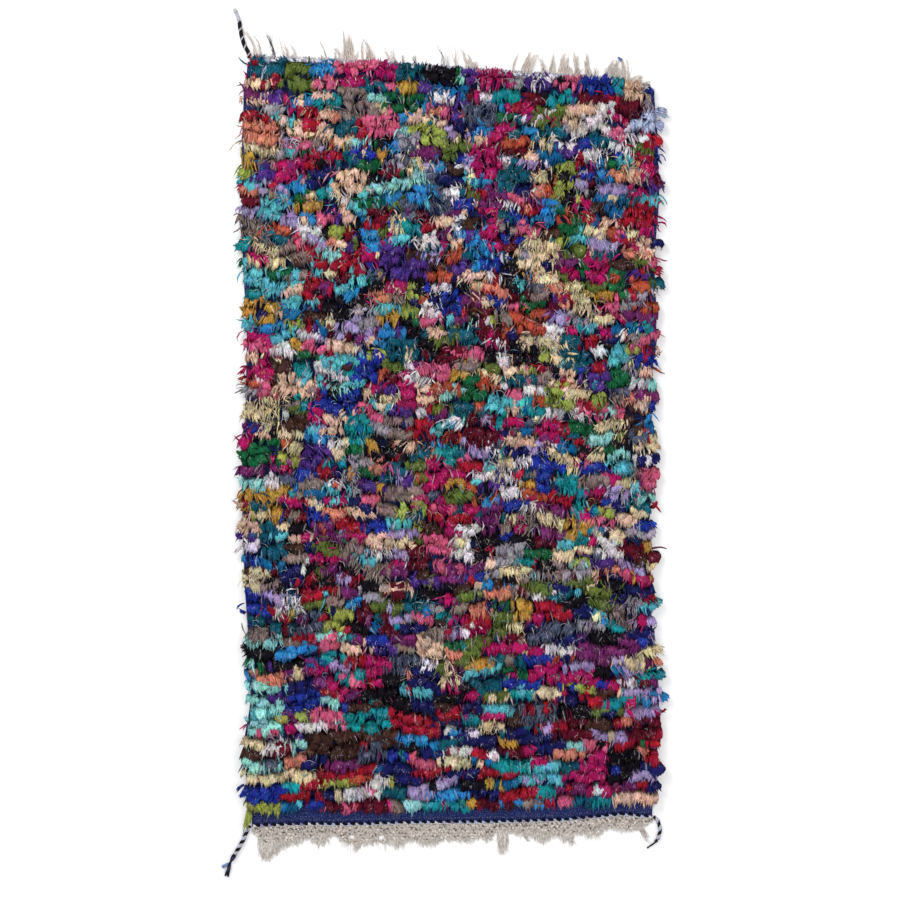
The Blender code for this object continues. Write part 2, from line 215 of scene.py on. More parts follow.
@dataclass(frozen=True)
class ClothFinish:
    """A finish for cloth and yarn that are dyed strip by strip, from the piece's own tint."""

    name: str
    roughness: float = 0.80
    sheen: float = 0.0
    blotches: float = 210.0
    fibres: float = 620.0
    stretch: tuple[float, float, float] = (1.0, 0.45, 1.0)
    darkest: float = 0.55
    palest: float = 1.30
    bump: float = 0.7
    bump_depth: float = 0.0022
    # painted shade: how dark a strip is painted at its root, where it sits deep in the pile
    root_shade: float = 1.0
    # the part of the noise that its darkest and palest shades lie at
    span: tuple[float, float] = (0.32, 0.68)
    # how far pale fibres show, how fine they are, and how far the hue drifts over a piece
    frayed: float = 0.0
    frays: float = 300.0
    patches: float = 45.0
    drift: float = 0.0
    drifts: float = 70.0

    def material(self) -> bpy.types.Material:
        """Builds the material."""
        made = bpy.data.materials.new(self.name)
        made.use_nodes = True
        book = NodeBook(made.node_tree)
        shader = made.node_tree.nodes["Principled BSDF"]
        shader.inputs["Sheen Weight"].default_value = self.sheen
        shader.inputs["Specular IOR Level"].default_value = 0.12
        where = book.out(book.add("ShaderNodeTexCoord"), "Object")
        place = book.out(book.add("ShaderNodeMapping", None, {"Vector": where, "Scale": self.stretch}))
        tint = book.out(book.add("ShaderNodeAttribute", {"attribute_name": "tint"}), "Color")
        reach = book.out(book.add("ShaderNodeAttribute", {"attribute_name": "reach"}), "Fac")
        blotch = book.noise(place, self.blotches, 3.0, 0.6)
        fibre = book.noise(place, self.fibres, 2.0, 0.6)
        shade = (blotch * 0.6 + fibre * 0.4).eased_over(*self.span, self.darkest, self.palest)
        if self.drift:
            turn = (book.noise(where, self.drifts) - 0.5) * self.drift + 0.5
            tint = book.out(book.add("ShaderNodeHueSaturation", None, {"Hue": turn, "Color": tint}))
        if self.frayed:
            patch = book.noise(where, self.patches, 1.0).eased_over(0.46, 0.62)
            fray = book.noise(place, self.frays, 1.0).eased_over(0.56, 0.70) * patch * self.frayed
            tint = book.mixed(fray, tint, opaque(linear((208, 198, 200))))
        # painted shade: darkens each strip towards its root, over the first half of its length
        shade = shade * reach.eased_over(0.05, 0.55, self.root_shade, 1.0)
        grey = book.out(book.add("ShaderNodeCombineColor", None, {0: shade, 1: shade, 2: shade}))
        book.tree.links.new(book.mixed(1.0, tint, grey, "MULTIPLY").socket, shader.inputs["Base Color"])
        rough = fibre.eased_over(0.3, 0.7, self.roughness - 0.12, self.roughness + 0.12)
        book.tree.links.new(rough.socket, shader.inputs["Roughness"])
        depth = {"Strength": self.bump, "Distance": self.bump_depth, "Height": fibre * 0.6 + blotch}
        bump = book.out(book.add("ShaderNodeBump", None, depth), "Normal")
        book.tree.links.new(bump.socket, shader.inputs["Normal"])
        return made


@dataclass(frozen=True)
class WeaveFinish:
    """The dark blue weft-faced weave, with pale flecks where the warp shows between the wefts."""

    name: str = "blue_weave_cloth"
    weft_colour: tuple[int, int, int] = (42, 58, 122)
    dark_colour: tuple[int, int, int] = (10, 18, 68)
    fleck_colour: tuple[int, int, int] = (205, 212, 238)
    rib_pitch: float = 0.0052
    flecks: float = 520.0
    fleck_start: float = 0.61
    roughness: float = 0.85

    def material(self) -> bpy.types.Material:
        """Builds the material."""
        made = bpy.data.materials.new(self.name)
        made.use_nodes = True
        book = NodeBook(made.node_tree)
        shader = made.node_tree.nodes["Principled BSDF"]
        shader.inputs["Specular IOR Level"].default_value = 0.12
        shader.inputs["Roughness"].default_value = self.roughness
        place = book.out(book.add("ShaderNodeTexCoord"), "Object")
        parts = book.add("ShaderNodeSeparateXYZ", None, {0: place})
        speck = book.noise(place, self.flecks, 1.0).eased_over(self.fleck_start, self.fleck_start + 0.10)
        patch = book.noise(place, 60.0, 2.0).eased_over(0.35, 0.6, 0.35, 1.0)
        fleck = speck * patch
        yarn = book.noise(place, 300.0, 1.0).eased_over(0.35, 0.65)
        weft = book.mixed(yarn, opaque(linear(self.dark_colour)), opaque(linear(self.weft_colour)))
        flecked = book.mixed(fleck * 0.50, weft, opaque(linear(self.fleck_colour)))
        book.tree.links.new(flecked.socket, shader.inputs["Base Color"])
        rib = book.maths("ABSOLUTE", (book.out(parts, 0) / self.rib_pitch).fraction() - 0.5)
        depth = {"Strength": 0.6, "Distance": 0.0010, "Height": rib * 1.2 + yarn * 0.4}
        bump = book.out(book.add("ShaderNodeBump", None, depth), "Normal")
        book.tree.links.new(bump.socket, shader.inputs["Normal"])
        return made


# Layout


@dataclass(frozen=True)
class Layout:
    """The rug's uneven outline as it lies, in the same sizes as its solids, and where the photo shows it."""

    bottom_left: tuple[float, float] = (-0.533, -1.023)
    bottom_right: tuple[float, float] = (0.550, -0.998)
    top_right: tuple[float, float] = (0.556, 0.958)
    top_left: tuple[float, float] = (-0.545, 1.034)
    # columns: share of the edge, bulge
    left_bulge: Table = (
        (0.00, 0.000), (0.05, 0.015), (0.10, 0.021), (0.165, 0.003), (0.205, 0.014), (0.245, 0.009),
        (0.33, 0.018), (0.45, 0.023), (0.56, 0.011), (0.63, 0.007), (0.76, 0.017), (0.88, 0.017),
        (0.96, 0.012), (1.00, 0.000),
    )
    right_bulge: Table = (
        (0.00, 0.000), (0.055, 0.013), (0.16, 0.018), (0.23, 0.008), (0.26, -0.003), (0.36, -0.003),
        (0.42, -0.008), (0.46, 0.001), (0.57, -0.005), (0.61, -0.003), (0.65, 0.008), (0.70, 0.007),
        (0.76, 0.002), (0.86, 0.014), (0.93, 0.010), (1.00, 0.000),
    )
    bottom_bulge: Table = (
        (0.00, 0.000), (0.13, -0.0015), (0.245, 0.002), (0.37, 0.001), (0.64, 0.004), (0.77, 0.0035),
        (0.86, -0.003), (0.92, -0.008), (1.00, 0.000),
    )
    top_bulge: Table = (
        (0.00, 0.000), (0.14, 0.009), (0.30, 0.012), (0.50, 0.011), (0.86, 0.012), (1.00, 0.000),
    )
    metres_a_pixel: float = 0.0027
    photo_middle: tuple[float, float] = (449.0, 445.0)
    stations: int = 98

    def place(self, across: float, along: float) -> Vector:
        """Finds a point of the weave before the rug is centred.

        Args:
            across: Share across from the left edge.
            along: Share along from the bottom edge.

        Returns:
            The point on the floor.
        """
        low = Vector(self.bottom_left).lerp(Vector(self.bottom_right), across)
        high = Vector(self.top_left).lerp(Vector(self.top_right), across)
        left = Vector(self.bottom_left).lerp(Vector(self.top_left), along)
        right = Vector(self.bottom_right).lerp(Vector(self.top_right), along)
        left.x -= eased(self.left_bulge, along)
        right.x += eased(self.right_bulge, along)
        bottom = low - Vector((0, eased(self.bottom_bulge, across)))
        top = high + Vector((0, eased(self.top_bulge, across)))
        return left.lerp(right, across) + bottom.lerp(top, along) - low.lerp(high, along)

    def shift(self) -> Vector:
        """How far the centred solids lie from the layout, from the ground weave's lowest corner."""
        steps = [step / self.stations for step in range(self.stations + 1)]
        lowest_x = min(self.place(0, step).x for step in [part / 40 for part in range(41)])
        lowest_y = min(self.place(step, 0).y for step in steps)
        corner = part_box("ground_weave")[0]
        return Vector((corner[0] - lowest_x, corner[1] - lowest_y))

    def in_photo(self, point: Vector) -> tuple[float, float]:
        """Gives a layout point's pixel in the photo."""
        across, down = self.photo_middle
        return across + point.x / self.metres_a_pixel, down - point.y / self.metres_a_pixel

    def from_photo(self, x: float, y: float) -> Vector:
        """Gives the layout point that a pixel of the photo shows."""
        across, down = self.photo_middle
        return Vector(((x - across) * self.metres_a_pixel, (down - y) * self.metres_a_pixel))


LAYOUT = Layout()
SHIFT = LAYOUT.shift()


def lifted(point: Vector, high: float) -> Vector:
    """Turns a layout point into one of the scene, at a height above the floor."""
    return Vector((point.x + SHIFT.x, point.y + SHIFT.y, high))


# Making meshes


class Mount(Enum):
    """Where a piece's finish comes from in the record."""

    WEAVE = "blue_weave"
    PILE = "rag_pile"
    TWINED = "twined_cord"
    WARP = "undyed_warp"
    BRAID = "braid_cord"
    WRAP = "grey_wrap"
    BLACK = "black_cord"


def settle(piece: bpy.types.Object, slot: Mount, *nodes: str) -> bpy.types.Object:
    """Lets a finished piece ride on the rug and stand for its solids.

    Args:
        piece: The finished piece.
        slot: Its material slot in the record; not used.
        nodes: The solids that it stands for.

    Returns:
        The same piece.
    """
    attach(piece, BODY)
    if nodes:
        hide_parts(*nodes)
    piece.data.calc_loop_triangles()
    log.info("%s: %d triangles", piece.name, len(piece.data.loop_triangles))
    return piece


def linked(name: str, data: bpy.types.Mesh) -> bpy.types.Object:
    """Puts a mesh in the scene as an object."""
    made = bpy.data.objects.new(name, data)
    bpy.context.collection.objects.link(made)
    return made


def mesh_from(name: str, points: Iterable, faces: Iterable, material: bpy.types.Material) -> bpy.types.Object:
    """Makes a smooth object with outward faces from points and faces."""
    data = bpy.data.meshes.new(name)
    data.from_pydata([tuple(point) for point in points], [], list(faces))
    work = bmesh.new()
    work.from_mesh(data)
    bmesh.ops.recalc_face_normals(work, faces=work.faces[:])
    work.to_mesh(data)
    work.free()
    data.shade_smooth()
    data.materials.append(material)
    return linked(name, data)


def paint(data: bpy.types.Mesh, tints: Sequence[Sequence[float]]) -> None:
    """Keeps a tint on each point of a mesh."""
    layer = data.attributes.new("tint", "FLOAT_COLOR", "POINT")
    layer.data.foreach_set("color", np.asarray([opaque(tint[:3]) for tint in tints], np.float32).ravel())


class GeometryTree:
    """A Geometry Nodes tree with named inputs, applied to a guide mesh and turned into a plain one."""

    kinds = {
        "Pieces": "NodeSocketCollection",
        "Finish": "NodeSocketMaterial",
        "Ruffle": "NodeSocketFloat",
        "Ruffle Scale": "NodeSocketFloat",
        "Sides": "NodeSocketInt",
    }

    def __init__(self, name: str, inputs: Sequence[str]) -> None:
        """Starts the tree with its inputs and one geometry output."""
        self.tree = bpy.data.node_groups.new(name, "GeometryNodeTree")
        self.book = NodeBook(self.tree)
        face = self.tree.interface
        face.new_socket("Geometry", in_out="INPUT", socket_type="NodeSocketGeometry")
        for label in inputs:
            face.new_socket(label, in_out="INPUT", socket_type=self.kinds[label])
        face.new_socket("Geometry", in_out="OUTPUT", socket_type="NodeSocketGeometry")
        self.start = self.book.add("NodeGroupInput")

    def given(self, label: str) -> Wire:
        """Gives one of the tree's inputs."""
        return self.book.out(self.start, label)

    def attribute(self, label: str, kind: str) -> Wire:
        """Reads a named attribute of the guide mesh."""
        settings = {"data_type": kind}
        return self.book.out(self.book.add("GeometryNodeInputNamedAttribute", settings, {"Name": label}))

    def finish(self, shape: Wire) -> None:
        """Ends the tree by realizing instances and giving the material."""
        book = self.book
        real = book.out(book.add("GeometryNodeRealizeInstances", None, {0: shape}))
        dressed = book.add("GeometryNodeSetMaterial", None, {0: real, "Material": self.given("Finish")})
        book.add("NodeGroupOutput", None, {0: book.out(dressed)})

    def apply(self, name: str, guide: bpy.types.Mesh, values: dict[str, object]) -> bpy.types.Mesh:
        """Runs the tree on a guide mesh.

        Args:
            name: The plain mesh's name.
            guide: The mesh that it runs on, which is removed.
            values: The inputs' values by their names.

        Returns:
            The plain mesh.
        """
        holder = linked(name + "_guide", guide)
        modifier = holder.modifiers.new("tree", "NODES")
        modifier.node_group = self.tree
        for item in self.tree.interface.items_tree:
            if item.in_out == "INPUT" and item.name in values:
                modifier[item.identifier] = values[item.name]
        depsgraph = bpy.context.evaluated_depsgraph_get()
        made = bpy.data.meshes.new_from_object(
            holder.evaluated_get(depsgraph), preserve_all_data_layers=True, depsgraph=depsgraph
        )
        made.name = name
        bpy.data.objects.remove(holder, do_unlink=True)
        bpy.data.meshes.remove(guide)
        return made


class Tied(NamedTuple):
    """One small shape that is tied or stitched on: its place, turn, size, which shape it is, and its tint."""

    place: Vector
    turn: tuple[float, float, float]
    size: tuple[float, float, float]
    kind: int
    tint: tuple[float, float, float]


class TieOn:
    """Places many small shapes, such as rag strips and stitches, by Geometry Nodes."""

    def __init__(self) -> None:
        """Builds the tree: a shape on each point, turned and sized by the point, then ruffled by a noise."""
        self.tree = GeometryTree("tie_on", ("Pieces", "Finish", "Ruffle", "Ruffle Scale"))
        tree, book = self.tree, self.tree.book
        settings = {"transform_space": "ORIGINAL"}
        shapes = book.add(
            "GeometryNodeCollectionInfo",
            settings,
            {"Collection": tree.given("Pieces"), "Separate Children": True, "Reset Children": True},
        )
        turn = book.add("FunctionNodeEulerToRotation", None, {0: tree.attribute("turn", "FLOAT_VECTOR")})
        spots = book.add("GeometryNodeMeshToPoints", None, {"Mesh": tree.given("Geometry")})
        values = {
            "Points": book.out(spots),
            "Instance": book.out(shapes),
            "Pick Instance": True,
            "Instance Index": tree.attribute("kind", "INT"),
            "Rotation": book.out(turn),
            "Scale": tree.attribute("size", "FLOAT_VECTOR"),
        }
        placed = book.out(book.add("GeometryNodeInstanceOnPoints", None, values))
        real = book.out(book.add("GeometryNodeRealizeInstances", None, {0: placed}))
        spot = book.out(book.add("GeometryNodeInputPosition"))
        fine = {"Vector": spot, "Scale": tree.given("Ruffle Scale"), "Detail": 2.0}
        noise = book.out(book.add("ShaderNodeTexNoise", None, fine), "Color")
        centred = book.add("ShaderNodeVectorMath", {"operation": "SUBTRACT"}, {0: noise, 1: (0.5, 0.5, 0.5)})
        scaled = {0: book.out(centred), "Scale": tree.given("Ruffle")}
        offset = book.out(book.add("ShaderNodeVectorMath", {"operation": "SCALE"}, scaled))
        moved = book.out(book.add("GeometryNodeSetPosition", None, {"Geometry": real, "Offset": offset}))
        tree.finish(moved)

    def make(
        self,
        name: str,
        shapes: Sequence[tuple[list, list, list]],
        items: Sequence[Tied],
        material: bpy.types.Material,
        ruffle: float = 0.0,
        ruffle_scale: float = 60.0,
        lowest: float = 0.0006,
    ) -> bpy.types.Object:
        """Makes one plain piece out of many small shapes.

        Args:
            name: The piece's name.
            shapes: Points, faces and each point's share of the length, about the shape's own origin.
            items: Where each goes.
            material: The piece's material.
            ruffle: How far the noise moves a point, twice over.
            ruffle_scale: How fine the noise is, in waves a metre.
            lowest: The floor that no point goes below.

        Returns:
            The piece.
        """
        folder = bpy.data.collections.new(name + "_shapes")
        for number, (points, faces, reach) in enumerate(shapes):
            data = bpy.data.meshes.new(f"{name}_shape_{number:02d}")
            data.from_pydata(points, [], faces)
            data.attributes.new("reach", "FLOAT", "POINT").data.foreach_set("value", reach)
            folder.objects.link(bpy.data.objects.new(data.name, data))
        guide = bpy.data.meshes.new(name + "_points")
        guide.from_pydata([tuple(item.place) for item in items], [], [])
        for label, values in (("turn", [item.turn for item in items]), ("size", [item.size for item in items])):
            layer = guide.attributes.new(label, "FLOAT_VECTOR", "POINT")
            layer.data.foreach_set("vector", np.asarray(values, np.float32).ravel())
        kinds = guide.attributes.new("kind", "INT", "POINT")
        kinds.data.foreach_set("value", [item.kind for item in items])
        paint(guide, [item.tint for item in items])
        inputs = {"Pieces": folder, "Finish": material, "Ruffle": ruffle, "Ruffle Scale": ruffle_scale}
        data = self.tree.apply(name, guide, inputs)
        for child in list(folder.objects):
            shape = child.data
            bpy.data.objects.remove(child, do_unlink=True)
            bpy.data.meshes.remove(shape)
        bpy.data.collections.remove(folder)
        places = np.empty(len(data.vertices) * 3, np.float32)
        data.vertices.foreach_get("co", places)
        places[2::3] = np.maximum(places[2::3], lowest)
        data.vertices.foreach_set("co", places)
        for label in ("turn", "size", "kind"):
            if label in data.attributes:
                data.attributes.remove(data.attributes[label])
        data.shade_smooth()
        data.update()
        return linked(name, data)


class Strand(NamedTuple):
    """One loose yarn or thread: its points, its radius at the root and at the tip, and its tint."""

    points: list[Vector]
    root: float
    tip: float
    tint: tuple[float, float, float]


class SpinYarns:
    """Turns lines into closed yarns by Geometry Nodes."""

    def __init__(self) -> None:
        """Builds the tree: each line becomes a capped tube of its own radius."""
        self.tree = GeometryTree("spin_yarns", ("Finish", "Sides"))
        tree, book = self.tree, self.tree.book
        lines = book.out(book.add("GeometryNodeMeshToCurve", None, {0: tree.given("Geometry")}))
        circle = book.out(book.add("GeometryNodeCurvePrimitiveCircle", None, {0: tree.given("Sides"), "Radius": 1.0}))
        values = {"Curve": lines, "Profile Curve": circle, "Fill Caps": True}
        tube = self.tree.book.add("GeometryNodeCurveToMesh")
        for label, value in values.items():
            if isinstance(value, Wire):
                book.tree.links.new(value.socket, tube.inputs[label])
            else:
                tube.inputs[label].default_value = value
        if "Scale" in tube.inputs:
            book.tree.links.new(tree.attribute("thick", "FLOAT").socket, tube.inputs["Scale"])
        tree.finish(book.out(tube))

    def make(
        self, name: str, strands: Sequence[Strand], material: bpy.types.Material, sides: int = 3
    ) -> bpy.types.Object:
        """Makes one piece out of many yarns.

        Args:
            name: The piece's name.
            strands: The yarns.
            material: The piece's material.
            sides: How many sides each yarn has.

        Returns:
            The piece.
        """
        points, edges, thick, tints = [], [], [], []
        for strand in strands:
            first, last = len(points), len(strand.points) - 1
            for number, point in enumerate(strand.points):
                points.append(tuple(point))
                thick.append(strand.root + (strand.tip - strand.root) * number / last)
                tints.append(strand.tint)
            edges += [(first + number, first + number + 1) for number in range(last)]
        guide = bpy.data.meshes.new(name + "_lines")
        guide.from_pydata(points, edges, [])
        layer = guide.attributes.new("thick", "FLOAT", "POINT")
        layer.data.foreach_set("value", thick)
        paint(guide, tints)
        data = self.tree.apply(name, guide, {"Finish": material, "Sides": sides})
        work = bmesh.new()
        work.from_mesh(data)
        bmesh.ops.recalc_face_normals(work, faces=work.faces[:])
        work.to_mesh(data)
        work.free()
        data.shade_smooth()
        return linked(name, data)


# Dyes and where they lie


class Dye(Enum):
    """The rags' and yarns' colours, as they look in full light."""

    CRIMSON = (154, 20, 46)
    MAGENTA = (168, 20, 92)
    ROSE = (200, 88, 124)
    WINE = (92, 10, 34)
    PLUM = (108, 36, 96)
    PURPLE = (76, 44, 128)
    LILAC = (158, 140, 188)
    NAVY = (20, 24, 88)
    ROYAL = (28, 50, 148)
    SKY = (40, 128, 188)
    PETROL = (16, 98, 150)
    TURQUOISE = (84, 176, 190)
    AQUA = (136, 198, 196)
    SEA = (18, 136, 146)
    TEAL = (12, 86, 106)
    EMERALD = (18, 92, 56)
    OLIVE = (90, 106, 46)
    LIME = (148, 160, 74)
    MUSTARD = (184, 140, 60)
    RUST = (174, 76, 52)
    SALMON = (206, 126, 106)
    PEACH = (218, 180, 158)
    CREAM = (214, 196, 158)
    WHITE = (216, 210, 216)
    GREY = (150, 144, 156)
    MIST = (176, 188, 220)
    SLATE = (80, 88, 112)
    TAUPE = (132, 114, 110)
    BROWN = (66, 40, 34)
    BLACK = (16, 12, 22)

    def light(self) -> tuple[float, float, float]:
        """Gives the dye as linear light."""
        return linear(self.value)


class Cut(Enum):
    """How a run of rags was cut, which sets the shape of its strips."""

    TORN = 0
    FELTED = 1
    YARN = 2


@dataclass(frozen=True)
class Zone:
    """A part of the field, in the photo's pixels, with the dyes that are common there."""

    left: float
    right: float
    top: float
    bottom: float
    more: dict[Dye, int]

    def holds(self, x: float, y: float) -> bool:
        """Says whether a pixel lies in the zone."""
        return self.left <= x < self.right and self.top <= y < self.bottom


@dataclass(frozen=True)
class Block:
    """A block of one dye that stands out, in the photo's pixels."""

    left: float
    right: float
    top: float
    bottom: float
    dye: Dye
    cut: Cut | None = None


COMMON = {
    Dye.CRIMSON: 7, Dye.MAGENTA: 6, Dye.ROSE: 4, Dye.WINE: 5, Dye.PLUM: 4, Dye.PURPLE: 3, Dye.LILAC: 3,
    Dye.NAVY: 4, Dye.ROYAL: 4, Dye.SKY: 3, Dye.PETROL: 3, Dye.TURQUOISE: 4, Dye.AQUA: 2, Dye.SEA: 2,
    Dye.TEAL: 5, Dye.EMERALD: 3, Dye.OLIVE: 3, Dye.LIME: 2, Dye.MUSTARD: 2, Dye.RUST: 2, Dye.SALMON: 3,
    Dye.PEACH: 4, Dye.CREAM: 4, Dye.WHITE: 4, Dye.GREY: 2, Dye.SLATE: 2, Dye.TAUPE: 3, Dye.BROWN: 3,
    Dye.BLACK: 4,
}
ZONES = (
    Zone(0, 380, 0, 200, {Dye.TAUPE: 5, Dye.PEACH: 4, Dye.CREAM: 3, Dye.TEAL: 3, Dye.WHITE: 2}),
    Zone(380, 520, 0, 200, {Dye.GREY: 8, Dye.WHITE: 8, Dye.SKY: 4, Dye.TAUPE: 5, Dye.SLATE: 3, Dye.PEACH: 3}),
    Zone(520, 900, 0, 200, {Dye.LILAC: 9, Dye.WHITE: 9, Dye.PURPLE: 4, Dye.ROYAL: 4, Dye.GREY: 6, Dye.MAGENTA: 3}),
    Zone(0, 380, 200, 400, {Dye.TURQUOISE: 6, Dye.CREAM: 3, Dye.PEACH: 3, Dye.TAUPE: 3}),
    Zone(380, 520, 200, 400, {Dye.TAUPE: 6, Dye.RUST: 3, Dye.PEACH: 4, Dye.ROSE: 2, Dye.TEAL: 3}),
    Zone(520, 900, 200, 400, {Dye.CREAM: 4, Dye.SALMON: 3, Dye.RUST: 3, Dye.TAUPE: 3, Dye.PEACH: 3}),
    Zone(0, 900, 330, 560, {Dye.TAUPE: 4, Dye.CREAM: 5, Dye.ROSE: 3, Dye.PEACH: 4, Dye.WHITE: 4, Dye.GREY: 3}),
    Zone(0, 900, 520, 640, {Dye.PLUM: 7, Dye.LILAC: 4, Dye.OLIVE: 4, Dye.NAVY: 5, Dye.TAUPE: 5, Dye.BLACK: 5, Dye.GREY: 4}),
    Zone(0, 320, 640, 690, {Dye.BLACK: 10, Dye.SKY: 4, Dye.AQUA: 3, Dye.NAVY: 4, Dye.WHITE: -3}),
    Zone(320, 900, 640, 690, {Dye.PLUM: 8, Dye.MAGENTA: 4, Dye.SEA: 5, Dye.NAVY: 7, Dye.BLACK: 4}),
    Zone(0, 900, 690, 900, {Dye.CRIMSON: 10, Dye.NAVY: 10, Dye.SEA: 7, Dye.TEAL: 5, Dye.WINE: 4, Dye.BLACK: 3}),
    Zone(500, 900, 640, 900, {Dye.MAGENTA: 6, Dye.PLUM: 5, Dye.LILAC: 5, Dye.SALMON: 4, Dye.NAVY: -4}),
    Zone(0, 900, 690, 900, {Dye.CREAM: 4, Dye.BROWN: 3, Dye.SKY: 2, Dye.LILAC: -2, Dye.ROSE: -3, Dye.GREY: -2}),
    Zone(0, 900, 690, 900, {Dye.SALMON: -2, Dye.PEACH: -3, Dye.LIME: -1, Dye.RUST: -1, Dye.TAUPE: -2}),
)
BLOCKS = (
    Block(280, 315, 65, 89, Dye.OLIVE, Cut.FELTED),
    Block(244, 278, 71, 80, Dye.CRIMSON),
    Block(361, 420, 73, 86, Dye.TEAL),
    Block(389, 423, 93, 116, Dye.EMERALD, Cut.FELTED),
    Block(427, 469, 85, 101, Dye.PETROL),
    Block(478, 506, 78, 93, Dye.MAGENTA),
    Block(574, 610, 82, 97, Dye.ROYAL),
    Block(617, 640, 92, 116, Dye.WINE),
    Block(237, 279, 123, 138, Dye.SALMON),
    Block(241, 278, 140, 152, Dye.CREAM, Cut.YARN),
    Block(366, 400, 116, 134, Dye.ROSE),
    Block(463, 495, 100, 118, Dye.SLATE, Cut.YARN),
    Block(475, 498, 138, 172, Dye.MAGENTA),
    Block(338, 369, 172, 187, Dye.PEACH),
    Block(387, 426, 176, 188, Dye.AQUA),
    Block(389, 440, 188, 206, Dye.SKY, Cut.FELTED),
    Block(624, 661, 210, 224, Dye.CRIMSON),
    Block(361, 383, 225, 243, Dye.SKY, Cut.FELTED),
    Block(242, 298, 270, 286, Dye.TURQUOISE),
    Block(588, 610, 251, 275, Dye.MAGENTA),
    Block(241, 278, 303, 316, Dye.MUSTARD),
    Block(280, 314, 301, 313, Dye.TURQUOISE),
    Block(320, 357, 292, 312, Dye.BLACK, Cut.FELTED),
    Block(469, 496, 303, 318, Dye.WINE),
    Block(505, 542, 312, 331, Dye.RUST),
    Block(242, 272, 334, 348, Dye.MAGENTA),
    Block(509, 538, 340, 361, Dye.BLACK),
    Block(351, 380, 360, 375, Dye.ROYAL),
    Block(277, 314, 381, 403, Dye.PEACH),
    Block(313, 358, 394, 409, Dye.ROYAL),
    Block(242, 282, 398, 420, Dye.CREAM, Cut.YARN),
    Block(478, 500, 381, 397, Dye.RUST),
    Block(466, 496, 420, 443, Dye.WINE),
    Block(239, 283, 440, 462, Dye.EMERALD, Cut.FELTED),
    Block(240, 290, 485, 504, Dye.MUSTARD),
    Block(246, 282, 633, 646, Dye.AQUA),
    Block(245, 282, 646, 656, Dye.BLACK),
    Block(282, 318, 641, 656, Dye.SKY),
    Block(249, 287, 662, 680, Dye.SALMON),
    Block(310, 335, 664, 680, Dye.MAGENTA),
    Block(287, 317, 689, 712, Dye.ROYAL),
    Block(248, 281, 705, 727, Dye.AQUA),
    Block(345, 390, 706, 732, Dye.SEA),
    Block(390, 428, 706, 734, Dye.CRIMSON),
    Block(305, 362, 734, 753, Dye.BROWN),
    Block(294, 330, 722, 734, Dye.WHITE),
    Block(239, 320, 762, 780, Dye.CREAM),
    Block(241, 281, 780, 804, Dye.ROYAL),
    Block(281, 322, 785, 801, Dye.CRIMSON),
    Block(325, 354, 776, 788, Dye.LIME),
    Block(500, 545, 790, 800, Dye.CRIMSON),
    Block(393, 432, 733, 745, Dye.SKY),
    Block(406, 426, 156, 182, Dye.CREAM, Cut.YARN),
    Block(555, 581, 179, 195, Dye.LIME),
    Block(239, 288, 261, 271, Dye.EMERALD),
    Block(640, 664, 80, 92, Dye.LILAC),
    Block(242, 279, 81, 89, Dye.PEACH),
    Block(316, 332, 76, 92, Dye.ROSE, Cut.FELTED),
    Block(346, 362, 70, 82, Dye.PURPLE, Cut.FELTED),
    Block(342, 372, 93, 117, Dye.TAUPE, Cut.FELTED),
    Block(578, 602, 98, 108, Dye.WINE, Cut.FELTED),
    Block(552, 574, 92, 108, Dye.SEA, Cut.FELTED),
    Block(630, 662, 114, 132, Dye.MIST),
    Block(240, 262, 92, 101, Dye.PLUM),
    Block(312, 331, 168, 187, Dye.NAVY, Cut.FELTED),
    Block(411, 449, 131, 142, Dye.LIME),
    Block(323, 350, 221, 235, Dye.LIME),
    Block(314, 342, 242, 252, Dye.AQUA),
    Block(325, 361, 254, 266, Dye.CRIMSON),
    Block(427, 454, 255, 266, Dye.BROWN),
    Block(427, 454, 270, 285, Dye.RUST),
    Block(471, 493, 254, 268, Dye.SKY),
    Block(396, 434, 800, 812, Dye.AQUA),
    Block(600, 640, 744, 764, Dye.BLACK, Cut.YARN),
    Block(530, 562, 736, 752, Dye.NAVY),
)


# columns: last of the photo's x, dye, share of strips that turn up over the top twined row
CROWN = (
    (263, Dye.TEAL, 0.8), (270, Dye.MIST, 0.8), (285, Dye.TEAL, 0.25), (316, Dye.OLIVE, 0.12),
    (334, Dye.SKY, 0.1), (376, Dye.ROSE, 0.75), (395, Dye.MAGENTA, 0.8), (421, Dye.TEAL, 0.6),
    (456, Dye.BLACK, 0.8), (466, Dye.EMERALD, 0.9), (479, Dye.PURPLE, 0.8), (508, Dye.MAGENTA, 0.7),
    (525, Dye.GREY, 0.6), (549, Dye.PURPLE, 0.8), (581, Dye.ROSE, 0.9), (612, Dye.ROYAL, 0.8),
    (621, Dye.SEA, 0.7), (646, Dye.PEACH, 0.6), (670, Dye.ROYAL, 0.8),
)
HEM = (
    (284, Dye.LIME, 0), (297, Dye.PETROL, 0), (325, Dye.ROYAL, 0), (387, Dye.WINE, 0), (391, Dye.MAGENTA, 0),
    (407, Dye.TAUPE, 0), (424, Dye.AQUA, 0), (466, Dye.SEA, 0), (478, Dye.MUSTARD, 0), (511, Dye.WINE, 0),
    (522, Dye.SKY, 0), (537, Dye.TAUPE, 0), (552, Dye.SKY, 0), (572, Dye.ROSE, 0), (590, Dye.TEAL, 0),
    (612, Dye.SEA, 0), (670, Dye.PEACH, 0),
)


